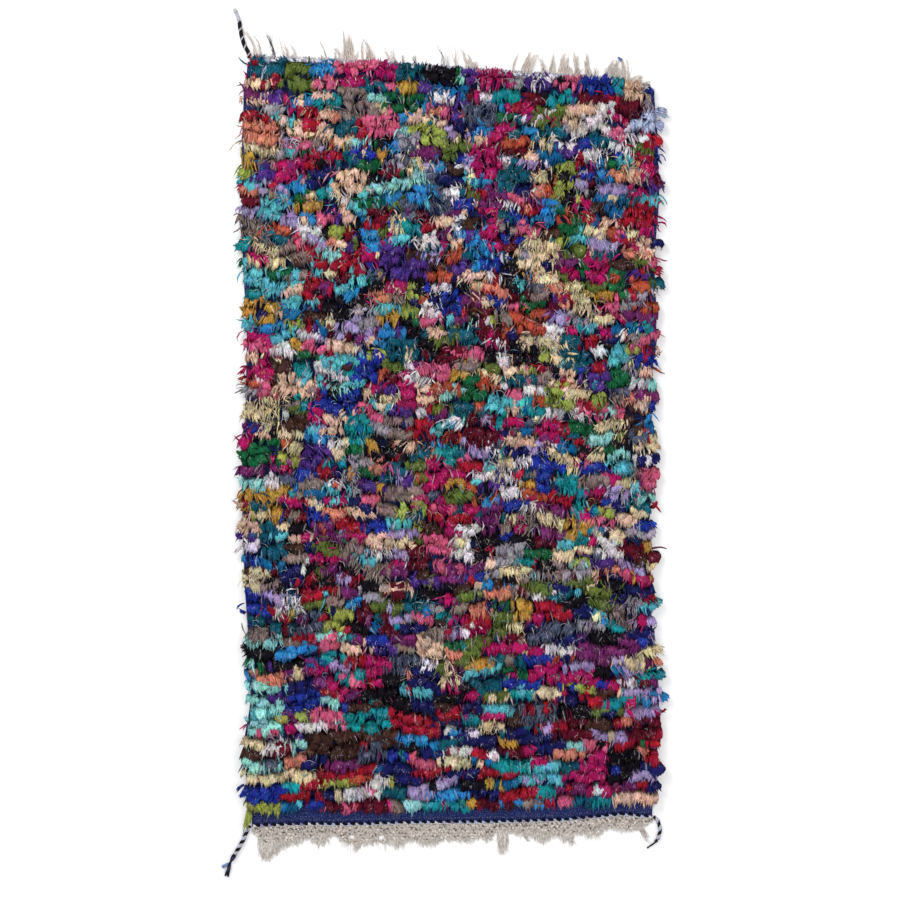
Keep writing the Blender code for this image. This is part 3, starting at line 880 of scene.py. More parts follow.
@dataclass(frozen=True)
class Strip:
    """One kind of strip: its line and widths, how high its ridge is, and how crumpled and jagged it is."""

    # columns: share of the length, width, forward, up; all but the first in metres
    profile: Table
    ridge: float
    crumple: float
    section: int = 3
    variants: int = 3
    teeth: float = 0.0
    folds: float = 0.0
    slump: float = 0.0
    pleat: float = 0.5

    def shape(self, source: random.Random) -> tuple[list, list, list]:
        """Makes one closed strip, rooted at the origin and leaning towards -Y.

        Args:
            source: The random source.

        Returns:
            Its points, its faces, and each point's share of the length.
        """
        points, faces, reach = [], [], []
        wide = self.section
        columns = [2 * number / (wide - 1) - 1 for number in range(wide)]
        pleats = [self.pleat * (1 if number % 2 else -1) for number in range(wide)]
        stretch = [
            1 + self.teeth * (source.uniform(-0.8, 0.5) + pleat - abs(across) ** 6)
            for across, pleat in zip(columns, pleats)
        ]
        bend = source.uniform(0.4, 1.3) * self.folds
        raised = [bend * (source.uniform(-0.9, 0.9) + pleat) for pleat in pleats]
        sway = source.uniform(-0.003, 0.003)
        for share, width, forward, up in self.profile:
            half = width / 2 * source.uniform(0.85, 1.15)
            aside = sway * math.sin(3.0 * share + source.uniform(-0.3, 0.3))
            for across, long, fold in zip(columns, stretch, raised):
                crown = self.ridge * half * ((1 - across**2) * 1.5 - 0.5)
                lump = source.uniform(-1, 1) * self.crumple
                high = up * (1 - self.slump * across**4) + crown + fold * math.sin(2.6 * share) + lump
                points.append((aside + across * half + lump * 0.5, -forward * long + lump, high))
                reach.append(share)
        last = len(points) - wide
        for ring in range(0, last, wide):
            for side in range(wide):
                other = (side + 1) % wide
                faces.append((ring + side, ring + other, ring + wide + other, ring + wide + side))
        faces.append(tuple(range(wide - 1, -1, -1)))
        faces.append(tuple(range(last, last + wide)))
        return points, faces, reach


TUFT = Strip(
    (
        (0.0, 0.0150, 0.000, 0.000), (0.25, 0.0200, 0.009, 0.0120), (0.55, 0.0210, 0.020, 0.0200),
        (0.80, 0.0190, 0.030, 0.0208), (1.0, 0.0150, 0.038, 0.0158),
    ),
    0.10, 0.0015, 6, 8, 0.34, 0.0026, 0.16,
)
SPIKE = Strip(
    (
        (0.0, 0.0040, 0.000, 0.002), (0.40, 0.0052, 0.014, 0.0180), (0.75, 0.0042, 0.029, 0.0220),
        (1.0, 0.0010, 0.044, 0.0140),
    ),
    0.60, 0.0012, variants=5,
)
MASS = Strip(
    (
        (0.0, 0.0260, 0.000, 0.000), (0.25, 0.0310, 0.008, 0.0125), (0.55, 0.0320, 0.019, 0.0210),
        (0.80, 0.0300, 0.029, 0.0212), (1.0, 0.0270, 0.037, 0.0162),
    ),
    0.08, 0.0014, 8, 10, 0.24, 0.0028, 0.12,
)
STRING = Strip(
    (
        (0.0, 0.0026, 0.000, 0.002), (0.3, 0.0031, 0.009, 0.0140), (0.6, 0.0031, 0.021, 0.0235),
        (0.84, 0.0028, 0.032, 0.0215), (1.0, 0.0014, 0.041, 0.0140),
    ),
    1.2, 0.0012,
)
STRIPS = (TUFT, SPIKE, MASS, STRING)
RECIPES: dict[Cut, tuple[tuple[int, float], ...]] = {
    Cut.TORN: ((2, 0.65), (0, 0.6), (1, 2.1)),
    Cut.FELTED: ((2, 1.05), (1, 1.0)),
    Cut.YARN: ((0, 0.7), (3, 4.5)),
}


@dataclass(frozen=True)
class Run:
    """A stretch of one row in one dye, with a few knots of another, and how its strips lie."""

    end: float
    dye: Dye
    cut: Cut
    accent: Dye
    accent_share: float
    lean: float
    drop: float
    long: float
    start: float
    slope: float


@dataclass(frozen=True)
class Knot:
    """One tied place in a row: its place, its dye and cut, and how its strips lie."""

    place: Vector
    dye: Dye
    cut: Cut
    lean: float
    long: float
    spread: float
    upward: float
    outward: float
    crown: bool
    room: float


@dataclass
class RagPile:
    """The shag: rows of rag strips tied into the weave, which lean towards the bottom end."""

    rows: int = 67
    start: float = 0.0165
    end: float = 0.997
    root_high: float = 0.0052
    torn_pitch: float = 0.0107
    felted_pitch: float = 0.0135
    jitter: float = 0.0042
    # how far apart the rows are in the photo's pixels
    row_pitch: float = 11.2
    rim: float = 0.020
    rim_leans: tuple[float, ...] = (0.0, 0.0, 0.5, 0.8, 1.0)
    pieces: int = 5
    ruffle: float = 0.0085
    ruffle_scale: float = 85.0
    edge_hold: float = 0.85
    crown_rise: float = 0.006
    crown_fill: float = 1.6
    # columns: rows away from an end, how freely that row may bend
    edge_calm: Table = ((0, 0.0), (1, 0.45), (2, 1.0))
    # columns: photo's y, shortest run, longest run, felted share, spread of lean, upward share, held share
    habits: Table = (
        (60, 0.022, 0.075, 0.15, 34, 0.24, 0.22), (450, 0.022, 0.070, 0.18, 34, 0.22, 0.20),
        (600, 0.028, 0.078, 0.35, 32, 0.16, 0.16), (680, 0.038, 0.095, 0.66, 27, 0.10, 0.14),
        (800, 0.045, 0.110, 0.82, 20, 0.04, 0.10), (820, 0.050, 0.120, 0.92, 15, 0.02, 0.10),
    )
    # columns: photo's x, photo's y, heading, width, length of the strips of the long yellow-green rag
    long_rag: Table = (
        (285, 807, -80, 0.9, 1.0), (281, 803, -60, 1.1, 0.9), (276, 802, 5, 1.0, 1.1), (272, 803, -20, 1.0, 1.0),
        (270, 806, -88, 0.9, 1.1), (257, 806, -70, 0.7, 0.6), (250, 807, -8, 0.9, 1.5), (249, 808, -14, 0.6, 1.7),
    )
    source: random.Random = field(default_factory=lambda: random.Random(41))

    def dye_at(self, x: float, y: float) -> Dye:
        """Draws a dye for a run, from what is common there."""
        weights = dict(COMMON)
        for zone in ZONES:
            if zone.holds(x, y):
                for dye, more in zone.more.items():
                    weights[dye] += more
        return self.source.choices(list(weights), list(weights.values()))[0]

    def block_at(self, x: float, y: float) -> Block | None:
        """Finds the block that stands out at a pixel, if there is one."""
        for block in BLOCKS:
            grow = max(0.0, (self.row_pitch - block.bottom + block.top) / 2)
            if block.left <= x < block.right and block.top - grow <= y < block.bottom + grow:
                return block
        return None

    def new_run(self, at: float, spot: tuple[float, float], habit: list[float], above: list[Run]) -> Run:
        """Draws one run of a row.

        Args:
            at: Where it starts, from the left edge.
            spot: The pixel of the photo where it starts.
            habit: What the habits' table says there.
            above: The runs of the row above.

        Returns:
            The run.
        """
        source = self.source
        length = source.uniform(habit[1], habit[2])
        dye = self.dye_at(*spot)
        cut = Cut.FELTED if source.random() < habit[3] else Cut.TORN
        if dye in (Dye.CREAM, Dye.WHITE, Dye.GREY, Dye.TAUPE, Dye.SLATE) and source.random() < 0.35:
            cut = Cut.YARN
        if above and source.random() < habit[6]:
            held = next((run for run in above if run.end > at + length / 2), above[-1])
            dye, cut = held.dye, held.cut
        accent = self.dye_at(*spot) if source.random() < 0.7 else dye
        lean = source.gauss(0, habit[4] * 0.45)
        drop = source.gauss(0, 0.0055)
        share, long = source.uniform(0.05, 0.32), source.uniform(0.88, 1.20)
        slope = source.gauss(0, 0.14)
        return Run(at + length, dye, cut, accent, share, lean, drop, long, at, slope)

    def wave(self, spot: Vector) -> float:
        """How far the rows bend away from straight ones at a place."""
        return 0.0085 * math.sin(spot.x * 11 + spot.y * 3.1) + 0.0060 * math.sin(spot.x * 27 - spot.y * 5.3 + 1.7)

    def row_knots(self, row: int, above: list[Run]) -> tuple[list[Knot], list[Run]]:
        """Ties one row in runs of one dye.

        Args:
            row: The row's number from the bottom.
            above: The runs of the row above.

        Returns:
            The row's knots, and its own runs.
        """
        source = self.source
        along = self.start + (self.end - self.start) * (row + 1) / self.rows
        width = (LAYOUT.place(1, along) - LAYOUT.place(0, along)).length
        calm = eased(self.edge_calm, min(row, self.rows - 1 - row))
        knots, runs = [], []
        left, right = source.choices(self.rim_leans, k=2)
        at = source.uniform(0, 0.004) if left else source.uniform(0.002, 0.012)
        while at < width:
            x, y = LAYOUT.in_photo(LAYOUT.place(at / width, along))
            habit = [eased(self.habits, y + 5, column) for column in range(7)]
            run = self.new_run(at, (x, y + 5), habit, above)
            runs.append(run)
            while at < min(width, run.end):
                spot = LAYOUT.place(at / width, along)
                px, py = LAYOUT.in_photo(spot)
                dye = run.accent if source.random() < run.accent_share else run.dye
                cut = run.cut
                block = self.block_at(px + source.uniform(-2, 2), py + 5.5 + source.uniform(-1, 1))
                if block:
                    dye, cut = block.dye, block.cut or cut
                crown = row == self.rows - 1
                upward = habit[5]
                if crown or row == 0:
                    told = next(line for line in (CROWN if crown else HEM) if px < line[0])
                    upward = told[2]
                    if source.random() < self.edge_hold:
                        dye = told[1]
                outward = 0.0
                if at < self.rim:
                    outward = left * (at / self.rim - 1)
                elif at > width - self.rim:
                    outward = right * (1 - (width - at) / self.rim)
                slant = run.slope * (at - (run.start + run.end) / 2)
                shift = calm * (self.wave(spot) - run.drop + slant)
                place = spot + Vector((0, shift))
                room = min(at - run.start, run.end - at)
                knots.append(Knot(place, dye, cut, run.lean, run.long, habit[4], upward, outward, crown, room))
                pitch = self.felted_pitch if cut is Cut.FELTED else self.torn_pitch
                at += pitch * source.uniform(0.85, 1.15)
        return knots, runs

    def strip_of(self, knot: Knot, kind: int, shade: float) -> Tied:
        """Lays one strip of a knot.

        Args:
            knot: The knot.
            kind: Which of the strips it is.
            shade: How light the knot's cloth is.

        Returns:
            The strip.
        """
        source = self.source
        strip = STRIPS[kind]
        thin = strip.ridge > 0.5
        spread = knot.spread * ((1.3 if source.random() < 0.15 else 0.5) if thin else 0.3)
        yaw = knot.lean + source.gauss(0, spread) + source.uniform(30, 60) * knot.outward
        place = lifted(knot.place, self.root_high)
        place.x += source.uniform(-0.6, 0.6) * self.torn_pitch
        place.y += source.uniform(-1, 1) * self.jitter
        high = source.uniform(0.80, 1.12) if thin else source.uniform(0.84, 1.10)
        long = source.uniform(0.80, 1.12) * knot.long
        if source.random() < knot.upward * (1.0 if thin else 0.6):
            yaw = 180 - yaw * 1.3
            place.y -= 0.003 if knot.crown else source.uniform(0.012, 0.024)
            long *= 0.62 if knot.crown else 0.75
        elif knot.crown:
            place.y += self.crown_rise
        long *= 1 - (0.55 if thin else 0.35) * abs(knot.outward)
        light = shade * math.exp(source.gauss(0, 0.13 if thin else 0.10))
        pale = 0.25 if thin and source.random() < 0.08 else 0.0
        dyed = [part * light * math.exp(source.gauss(0, 0.06)) for part in knot.dye.light()]
        tint = tuple(min(0.90, part + pale * (0.8 - part)) for part in dyed)
        roll = source.gauss(0, 13 if thin else 6)
        turn = (math.radians(source.gauss(0, 5)), math.radians(roll), math.radians(yaw))
        first = sum(other.variants for other in STRIPS[:kind])
        number = first + source.randrange(strip.variants)
        wide = source.uniform(0.62, 1.30) * (0.72 if knot.crown and not thin else 1.0)
        if not thin:
            wide = min(wide, max(0.42, (knot.room + 0.005) * 2 / strip.profile[1][1]))
            wide *= 1 - 0.35 * abs(knot.outward)
        return Tied(place, turn, (wide, long, high), number, tint)

    def rag_ends(self) -> list[Tied]:
        """Lays the long yellow-green rag at the bottom left corner."""
        made = []
        for x, y, heading, wide, long in self.long_rag:
            place = lifted(LAYOUT.from_photo(x, y), 0.006)
            turn = (0.0, 0.0, math.radians(heading))
            made.append(Tied(place, turn, (wide, long, 0.9 if x > 260 else 0.4), 0, Dye.LIME.light()))
        return made

    def build(self, tie: TieOn) -> list[bpy.types.Object]:
        """Makes the whole pile in a few pieces, from the top rows to the bottom ones."""
        source = self.source
        finish = ClothFinish(
            "rag_cloth", root_shade=0.58, bump=0.60, span=(0.36, 0.64), darkest=0.52, palest=1.34, frayed=0.34, drift=0.07
        ).material()
        shapes = [strip.shape(source) for strip in STRIPS for _ in range(strip.variants)]
        groups: list[list[Tied]] = [[] for _ in range(self.pieces)]
        above: list[Run] = []
        for row in reversed(range(self.rows)):
            knots, above = self.row_knots(row, above)
            group = groups[(self.rows - 1 - row) * self.pieces // self.rows]
            for knot in knots:
                shade = math.exp(source.gauss(0, 0.10))
                for kind, count in RECIPES[knot.cut]:
                    count *= self.crown_fill if knot.crown else 1.0
                    whole = int(count) + (source.random() < count % 1)
                    group += [self.strip_of(knot, kind, shade) for _ in range(whole)]
        groups[-1] += self.rag_ends()
        made = []
        for number, group in enumerate(groups):
            piece = tie.make(
                f"pile_rows_{number + 1}", shapes, group, finish, self.ruffle, self.ruffle_scale, 0.0045
            )
            made.append(settle(piece, Mount.PILE, "pile"))
        return made


@dataclass
class LooseThreads:
    """Thin pale threads that curl over the pile."""

    count: int = 900
    length: tuple[float, float] = (0.010, 0.042)
    radius: float = 0.00060
    high: tuple[float, float] = (0.028, 0.038)
    parts: int = 5
    seed: int = 97

    def build(self, spin: SpinYarns) -> bpy.types.Object:
        """Makes all the threads as one piece."""
        source = random.Random(self.seed)
        dyes = (Dye.WHITE, Dye.CREAM, Dye.LILAC, Dye.PEACH, Dye.GREY, Dye.AQUA, Dye.ROSE, Dye.WHITE)
        strands = []
        for _ in range(self.count):
            along = source.betavariate(1.5, 1.35)
            start = LAYOUT.place(source.uniform(0.02, 0.98), 0.02 + 0.96 * along)
            heading = math.pi / 2 + source.gauss(0, 0.7)
            bend = source.uniform(-1.0, 1.0) * 5.0 / self.parts
            step = source.uniform(*self.length) / self.parts
            high = source.uniform(*self.high)
            points = []
            for number in range(self.parts + 1):
                arch = math.sin(math.pi * number / self.parts)
                points.append(lifted(start, 0.018 + (high - 0.018) * arch))
                heading += bend * source.uniform(0.3, 1.4)
                start = start + Vector((math.cos(heading), math.sin(heading))) * step
            tint = source.choice(dyes).light()
            strands.append(Strand(points, self.radius, self.radius * 0.7, tint))
        finish = ClothFinish("loose_thread", roughness=0.7, darkest=0.85, palest=1.1).material()
        piece = spin.make("loose_threads", strands, finish)
        return settle(piece, Mount.PILE, "pile")


@dataclass
class GroundWeave:
    """The flat weft-faced weave under the pile, with a slightly rounded selvedge."""

    thick: float = 0.004
    across: int = 50
    along: int = 80
    flat: tuple[float, float] = (1.10, 2.03)
    # how far the weave reaches under the twined row, at the bottom and at the top
    under: tuple[float, float] = (0.010, 0.004)

    def build(self) -> bpy.types.Object:
        """Makes the sheet as one closed mesh."""
        points, faces = [], []
        wide = self.across + 1
        for level in (0, 1):
            for row in range(self.along + 1):
                for column in range(wide):
                    spot = LAYOUT.place(column / self.across, row / self.along)
                    if row in (0, self.along):
                        spot.y += self.under[1] if row else -self.under[0]
                    edge = min(column, self.across - column, row, self.along - row)
                    high = self.thick * (0.78 if edge == 0 else 1.0) if level else 0.0
                    points.append(lifted(spot, high))
        count = wide * (self.along + 1)
        for row in range(self.along):
            for column in range(self.across):
                first = row * wide + column
                faces.append((first, first + wide, first + wide + 1, first + 1))
                faces.append(tuple(count + spot for spot in (first, first + 1, first + wide + 1, first + wide)))
        rim = list(range(self.across)) + [row * wide + self.across for row in range(self.along)]
        rim += [self.along * wide + column for column in range(self.across, 0, -1)]
        rim += [row * wide for row in range(self.along, 0, -1)]
        for first, second in zip(rim, rim[1:] + rim[:1]):
            faces.append((first, second, count + second, count + first))
        return mesh_from("ground_weave_cloth", points, faces, WeaveFinish().material())


def grain(length: float, width: float, high: float, rings: int = 3, sides: int = 6) -> tuple[list, list, list]:
    """Makes a plump closed grain that lies along X on z = 0, such as one stitch of a cord."""
    points, faces = [(-length / 2, 0, high * 0.4)], []
    for ring in range(1, rings + 1):
        share = ring / (rings + 1)
        swell = math.sin(math.pi * share) ** 0.6
        for side in range(sides):
            angle = 2 * math.pi * side / sides
            y = width / 2 * swell * math.cos(angle)
            z = high / 2 + high / 2 * swell * math.sin(angle)
            points.append((length * (share - 0.5), y, z))
    points.append((length / 2, 0, high * 0.4))
    last = len(points) - 1
    for side in range(sides):
        other = (side + 1) % sides
        faces.append((0, 1 + other, 1 + side))
        faces.append((last, last - sides + side, last - sides + other))
        for ring in range(rings - 1):
            first = 1 + ring * sides
            faces.append((first + side, first + other, first + sides + other, first + sides + side))
    return points, faces, [0.5] * len(points)


@dataclass
class TwinedRow:
    """The row of a black and a pale cord twined across one end, which reads as a line of chevrons."""

    name: str
    node: str
    along: float
    outward: float
    chevrons: int = 101
    stitch: tuple[float, float, float] = (0.0110, 0.0056, 0.0056)
    angle: float = 38.0
    loose: float = 0.0006
    specks: int = 0
    pale: tuple[Dye, ...] = (Dye.MIST, Dye.MIST, Dye.WHITE, Dye.LILAC)
    dark: tuple[Dye, ...] = (Dye.BLACK,)
    out: float = 0.0080
    seed: int = 5

    def build(self, tie: TieOn) -> bpy.types.Object:
        """Makes the row from stitches in pairs."""
        source = random.Random(self.seed)
        items = []
        for number in range(self.chevrons):
            share = (number + 0.5) / self.chevrons
            middle = LAYOUT.place(share, self.along)
            ahead = LAYOUT.place(min(1, share + 0.01), self.along) - LAYOUT.place(max(0, share - 0.01), self.along)
            lean = math.atan2(ahead.y, ahead.x)
            black = number % 2
            dye = source.choice(self.dark if black else self.pale)
            for side in (0,) if black else (-1, 1):
                aside = source.uniform(-1, 1) * self.loose - side * 0.0016
                out = self.outward * self.out + source.uniform(-1, 1) * self.loose
                spot = middle + Vector((aside, out + (0.0014 if black else 0)))
                steep = -self.angle if black else (-72 if side > 0 else -44)
                turn = lean + math.radians(steep + source.uniform(-9, 9))
                wide = source.uniform(1.35, 1.6) if black else source.uniform(0.68, 0.86)
                size = (source.uniform(1.15, 1.3) if black else source.uniform(0.90, 1.08), wide, 1.0)
                light = math.exp(source.gauss(0, 0.12))
                tint = tuple(min(0.95, part * light) for part in dye.light())
                items.append(Tied(lifted(spot, 0.0022 if black else 0.0030), (0, 0, turn), size, 0, tint))
        for number in range(self.specks):
            spot = LAYOUT.place((number + source.uniform(0.2, 0.8)) / self.specks, self.along)
            spot.y += source.uniform(-0.0016, 0.0020) - self.outward * 0.0040
            size = (0.26, 0.26, 0.35)
            light = source.uniform(0.15, 0.75)
            tint = tuple(part * light for part in Dye.WHITE.light())
            items.append(Tied(lifted(spot, 0.0034), (0, 0, source.uniform(0, math.pi)), size, 0, tint))
        finish = ClothFinish(self.name + "_yarn", blotches=400, fibres=1600, bump_depth=0.0004).material()
        piece = tie.make(self.name, [grain(*self.stitch)], items, finish, 0.0008, 180.0)
        return settle(piece, Mount.TWINED, self.node)


@dataclass
class WarpBand:
    """The knotted band of undyed warp below the bottom twined row, with its uneven fuzzy edge."""

    # columns: distance from the left corner, depth of the knotted band, length of the locks below it
    profile: Table = (
        (0.000, 0.004, 0.002), (0.012, 0.012, 0.010), (0.018, 0.042, 0.030), (0.032, 0.046, 0.044),
        (0.050, 0.044, 0.048), (0.066, 0.042, 0.036), (0.080, 0.040, 0.024), (0.125, 0.038, 0.016),
        (0.148, 0.030, 0.006), (0.180, 0.038, 0.022), (0.200, 0.036, 0.018), (0.216, 0.020, 0.004),
        (0.232, 0.022, 0.004), (0.250, 0.040, 0.016), (0.273, 0.048, 0.024), (0.330, 0.042, 0.010),
        (0.352, 0.048, 0.026), (0.375, 0.040, 0.012), (0.392, 0.046, 0.028), (0.425, 0.040, 0.014),
        (0.478, 0.046, 0.020), (0.520, 0.038, 0.010), (0.578, 0.042, 0.014), (0.615, 0.034, 0.008),
        (0.640, 0.040, 0.014), (0.660, 0.020, 0.004), (0.672, 0.022, 0.058), (0.684, 0.022, 0.060),
        (0.697, 0.020, 0.006), (0.745, 0.026, 0.018), (0.790, 0.028, 0.030), (0.825, 0.032, 0.014),
        (0.862, 0.036, 0.032), (0.885, 0.032, 0.008), (0.925, 0.040, 0.020), (0.965, 0.026, 0.004),
        (1.012, 0.034, 0.012), (1.040, 0.028, 0.008), (1.062, 0.016, 0.004), (1.085, 0.003, 0.002),
    )
    holes: tuple[tuple[float, float, float], ...] = ((0.270, 0.030, 0.0075), (0.350, 0.034, 0.0075))
    edge: float = 0.0140
    cell: float = 0.0035
    rows: int = 12
    thick: tuple[float, float] = (0.0022, 0.0040)
    knot_pitch: tuple[float, float] = (0.0118, 0.0084)
    knot: tuple[float, float, float] = (0.0125, 0.0062, 0.0040)
    knot_angle: float = 38.0
    # how many strokes of painted shade show in the gaps between the knots, and how far down the band they reach
    gaps: int = 230
    gap_reach: float = 0.82
    fibres: int = 1500
    lock_fibres: int = 3
    lock_length: float = 0.034
    # columns: the photo's x and y of a small curl's start, and of its end
    curls: Table = (
        (522, 834, 531, 845), (537, 836, 545, 847), (569, 840, 576, 847), (640, 829, 652, 842),
        (638, 828, 650, 846),
    )
    curl_fibres: int = 12
    seed: int = 23

    def spot(self, distance: float, depth: float) -> Vector:
        """Finds a point of the band from the left corner and down from the twined row."""
        width = (LAYOUT.place(1, 0) - LAYOUT.place(0, 0)).length
        middle = LAYOUT.place(min(1.0, distance / width), 0)
        return middle - Vector((0, self.edge + depth))

    def in_hole(self, distance: float, depth: float, grow: float = 1.0) -> bool:
        """Says whether a place lies in one of the holes."""
        return any(math.hypot(distance - x, depth - y) < size * grow for x, y, size in self.holes)

    def backing(self, source: random.Random) -> tuple[list, list]:
        """Makes the felted backing as a closed slab that follows the profile and its holes."""
        columns = int(self.profile[-1][0] / self.cell)
        points, tops, faces = [], [], []
        wobble = [source.uniform(0.82, 1.04) for _ in range(columns + 1)]
        for column in range(columns + 1):
            distance = column * self.cell
            depth = eased(self.profile, distance) * wobble[column]
            for row in range(self.rows + 1):
                share = row / self.rows
                points.append(lifted(self.spot(distance, depth * share), 0.0005))
                high = source.uniform(*self.thick) * (0.5 if row == self.rows else 1.0)
                tops.append(lifted(self.spot(distance, depth * share), 0.0005 + high))
        wide, count = self.rows + 1, len(points)
        cells = []
        for column in range(columns):
            distance = (column + 0.5) * self.cell
            depth = eased(self.profile, distance)
            for row in range(self.rows):
                if not self.in_hole(distance, depth * (row + 0.5) / self.rows):
                    first = column * wide + row
                    cells.append((first, first + 1, first + wide + 1, first + wide))
        edges = {pair for cell in cells for pair in zip(cell, cell[1:] + cell[:1])}
        for cell in cells:
            faces.append(tuple(reversed(cell)))
            faces.append(tuple(count + spot for spot in cell))
        for first, second in edges:
            if (second, first) not in edges:
                faces.append((first, second, count + second, count + first))
        return points + tops, faces

    def knots(self, source: random.Random) -> list[Tied]:
        """Lays the knots of the band as slanted grains, which turn from row to row, with the painted shade between
        them.
        """
        items = []
        across, down = self.knot_pitch
        for column in range(int(self.profile[-1][0] / across)):
            for row in range(6):
                distance = (column + 0.5 + 0.5 * (row % 2)) * across + source.uniform(-1, 1) * 0.0022
                depth = (row + 0.35) * down + source.uniform(-1, 1) * 0.0020
                if depth > eased(self.profile, distance) * 0.97 or self.in_hole(distance, depth, 1.25):
                    continue
                side = 1 if row % 2 else -1
                turn = side * math.radians(self.knot_angle + source.uniform(-28, 28))
                size = tuple(source.uniform(0.72, 1.30) for _ in range(3))
                light = source.uniform(0.72, 1.0)
                tint = tuple(part * light for part in linear((226, 217, 209)))
                items.append(Tied(lifted(self.spot(distance, depth), 0.0022), (0, 0, turn), size, 0, tint))
        return items + self.painted_gap_shade()

    def painted_gap_shade(self) -> list[Tied]:
        """Lays dark strokes of painted shade where the knots stand apart, most of them near the twined row."""
        source = random.Random(self.seed + 1)
        items = []
        end = self.profile[-1][0]
        for number in range(self.gaps):
            distance = end * (number + source.random()) / self.gaps
            depth = eased(self.profile, distance) * self.gap_reach * source.random() ** 1.5
            side = -1 if source.random() < 0.6 else 1
            turn = side * math.radians(source.uniform(15, 65))
            size = (source.uniform(0.36, 0.78), source.uniform(0.30, 0.50), 1.30)
            light = source.uniform(0.40, 1.0)
            # painted shade: a dull grey-brown stands in for the shadow in the gaps between the knots
            tint = tuple(part * light for part in linear((124, 112, 108)))
            spot = lifted(self.spot(distance, depth + 0.001), 0.0024)
            if not self.in_hole(distance, depth, 1.2):
                items.append(Tied(spot, (0, 0, turn), size, 0, tint))
        return items

    def fuzz(self, source: random.Random) -> list[Strand]:
        """Makes the frayed fibres along the lower edge, and the locks that hang from it."""
        strands = []
        end = self.profile[-1][0]
        distances = [end * (number + source.random()) / self.fibres for number in range(self.fibres)]
        thick = [spot for spot in distances if eased(self.profile, spot, 2) > self.lock_length]
        for distance in distances + thick * self.lock_fibres:
            depth = eased(self.profile, distance)
            lock = eased(self.profile, distance, 2)
            length = 0.008 + lock * source.uniform(0.45, 1.05)
            share = source.uniform(0.62, 0.98)
            start = self.spot(distance, depth * share)
            heading = -math.pi / 2 + source.gauss(0, 0.38 if lock < 0.02 else 0.07)
            points = []
            for part in range(4):
                high = 0.0012 + 0.0030 * math.sin(math.pi * (part + 0.6) / 4) * source.random()
                points.append(lifted(start, high))
                start = start + Vector((math.cos(heading), math.sin(heading))) * length / 3
                heading += source.gauss(0, 0.22 if lock < 0.02 else 0.10)
            light = source.uniform(0.75, 1.05)
            tint = tuple(part * light for part in linear((240, 232, 224)))
            thin = source.uniform(0.0007, 0.0011)
            if not self.in_hole(distance, depth * share, 1.5):
                strands.append(Strand(points, thin, 0.0004, tint))
        for x, y, end_x, end_y in self.curls:
            for _ in range(self.curl_fibres):
                start, stop = LAYOUT.from_photo(x, y), LAYOUT.from_photo(end_x, end_y)
                start += Vector((source.gauss(0, 0.0022), source.gauss(0, 0.0022)))
                stop = start.lerp(stop + Vector((source.gauss(0, 0.0030), source.gauss(0, 0.0030))), source.uniform(0.4, 1))
                bow = source.uniform(-0.002, 0.005)
                points = []
                for part in range(5):
                    bend = Vector((source.gauss(bow, 0.0006), source.gauss(bow, 0.0006))) * math.sin(math.pi * part / 4)
                    points.append(lifted(start.lerp(stop, part / 4) + bend, 0.002))
                light = source.uniform(0.6, 0.95)
                tint = tuple(part * light for part in linear((228, 218, 210)))
                strands.append(Strand(points, 0.0008, 0.0005, tint))
        return strands

    def build(self, tie: TieOn, spin: SpinYarns) -> list[bpy.types.Object]:
        """Makes the backing, its knots and its fuzz."""
        source = random.Random(self.seed)
        finish = ClothFinish("warp_cotton", blotches=260, fibres=1400, bump_depth=0.0005).material()
        points, faces = self.backing(source)
        felt = mesh_from("warp_band", points, faces, finish)
        base = linear((206, 195, 186))
        shades = [source.uniform(0.70, 1.0) for _ in points]
        paint(felt.data, [tuple(part * shade for part in base) for shade in shades])
        grains = tie.make("warp_knots", [grain(*self.knot)], self.knots(source), finish, 0.0012, 220.0)
        fray = spin.make("warp_fray", self.fuzz(source), finish)
        return [settle(piece, Mount.WARP, "fringe_bottom") for piece in (felt, grains, fray)]


class Tuft(NamedTuple):
    """One tuft of loose warp ends, in the photo's pixels."""

    root: float
    width: float
    tip_x: float
    tip_y: float
    narrow: float
    dense: float
    bow: float = 0.0
    dark: bool = False


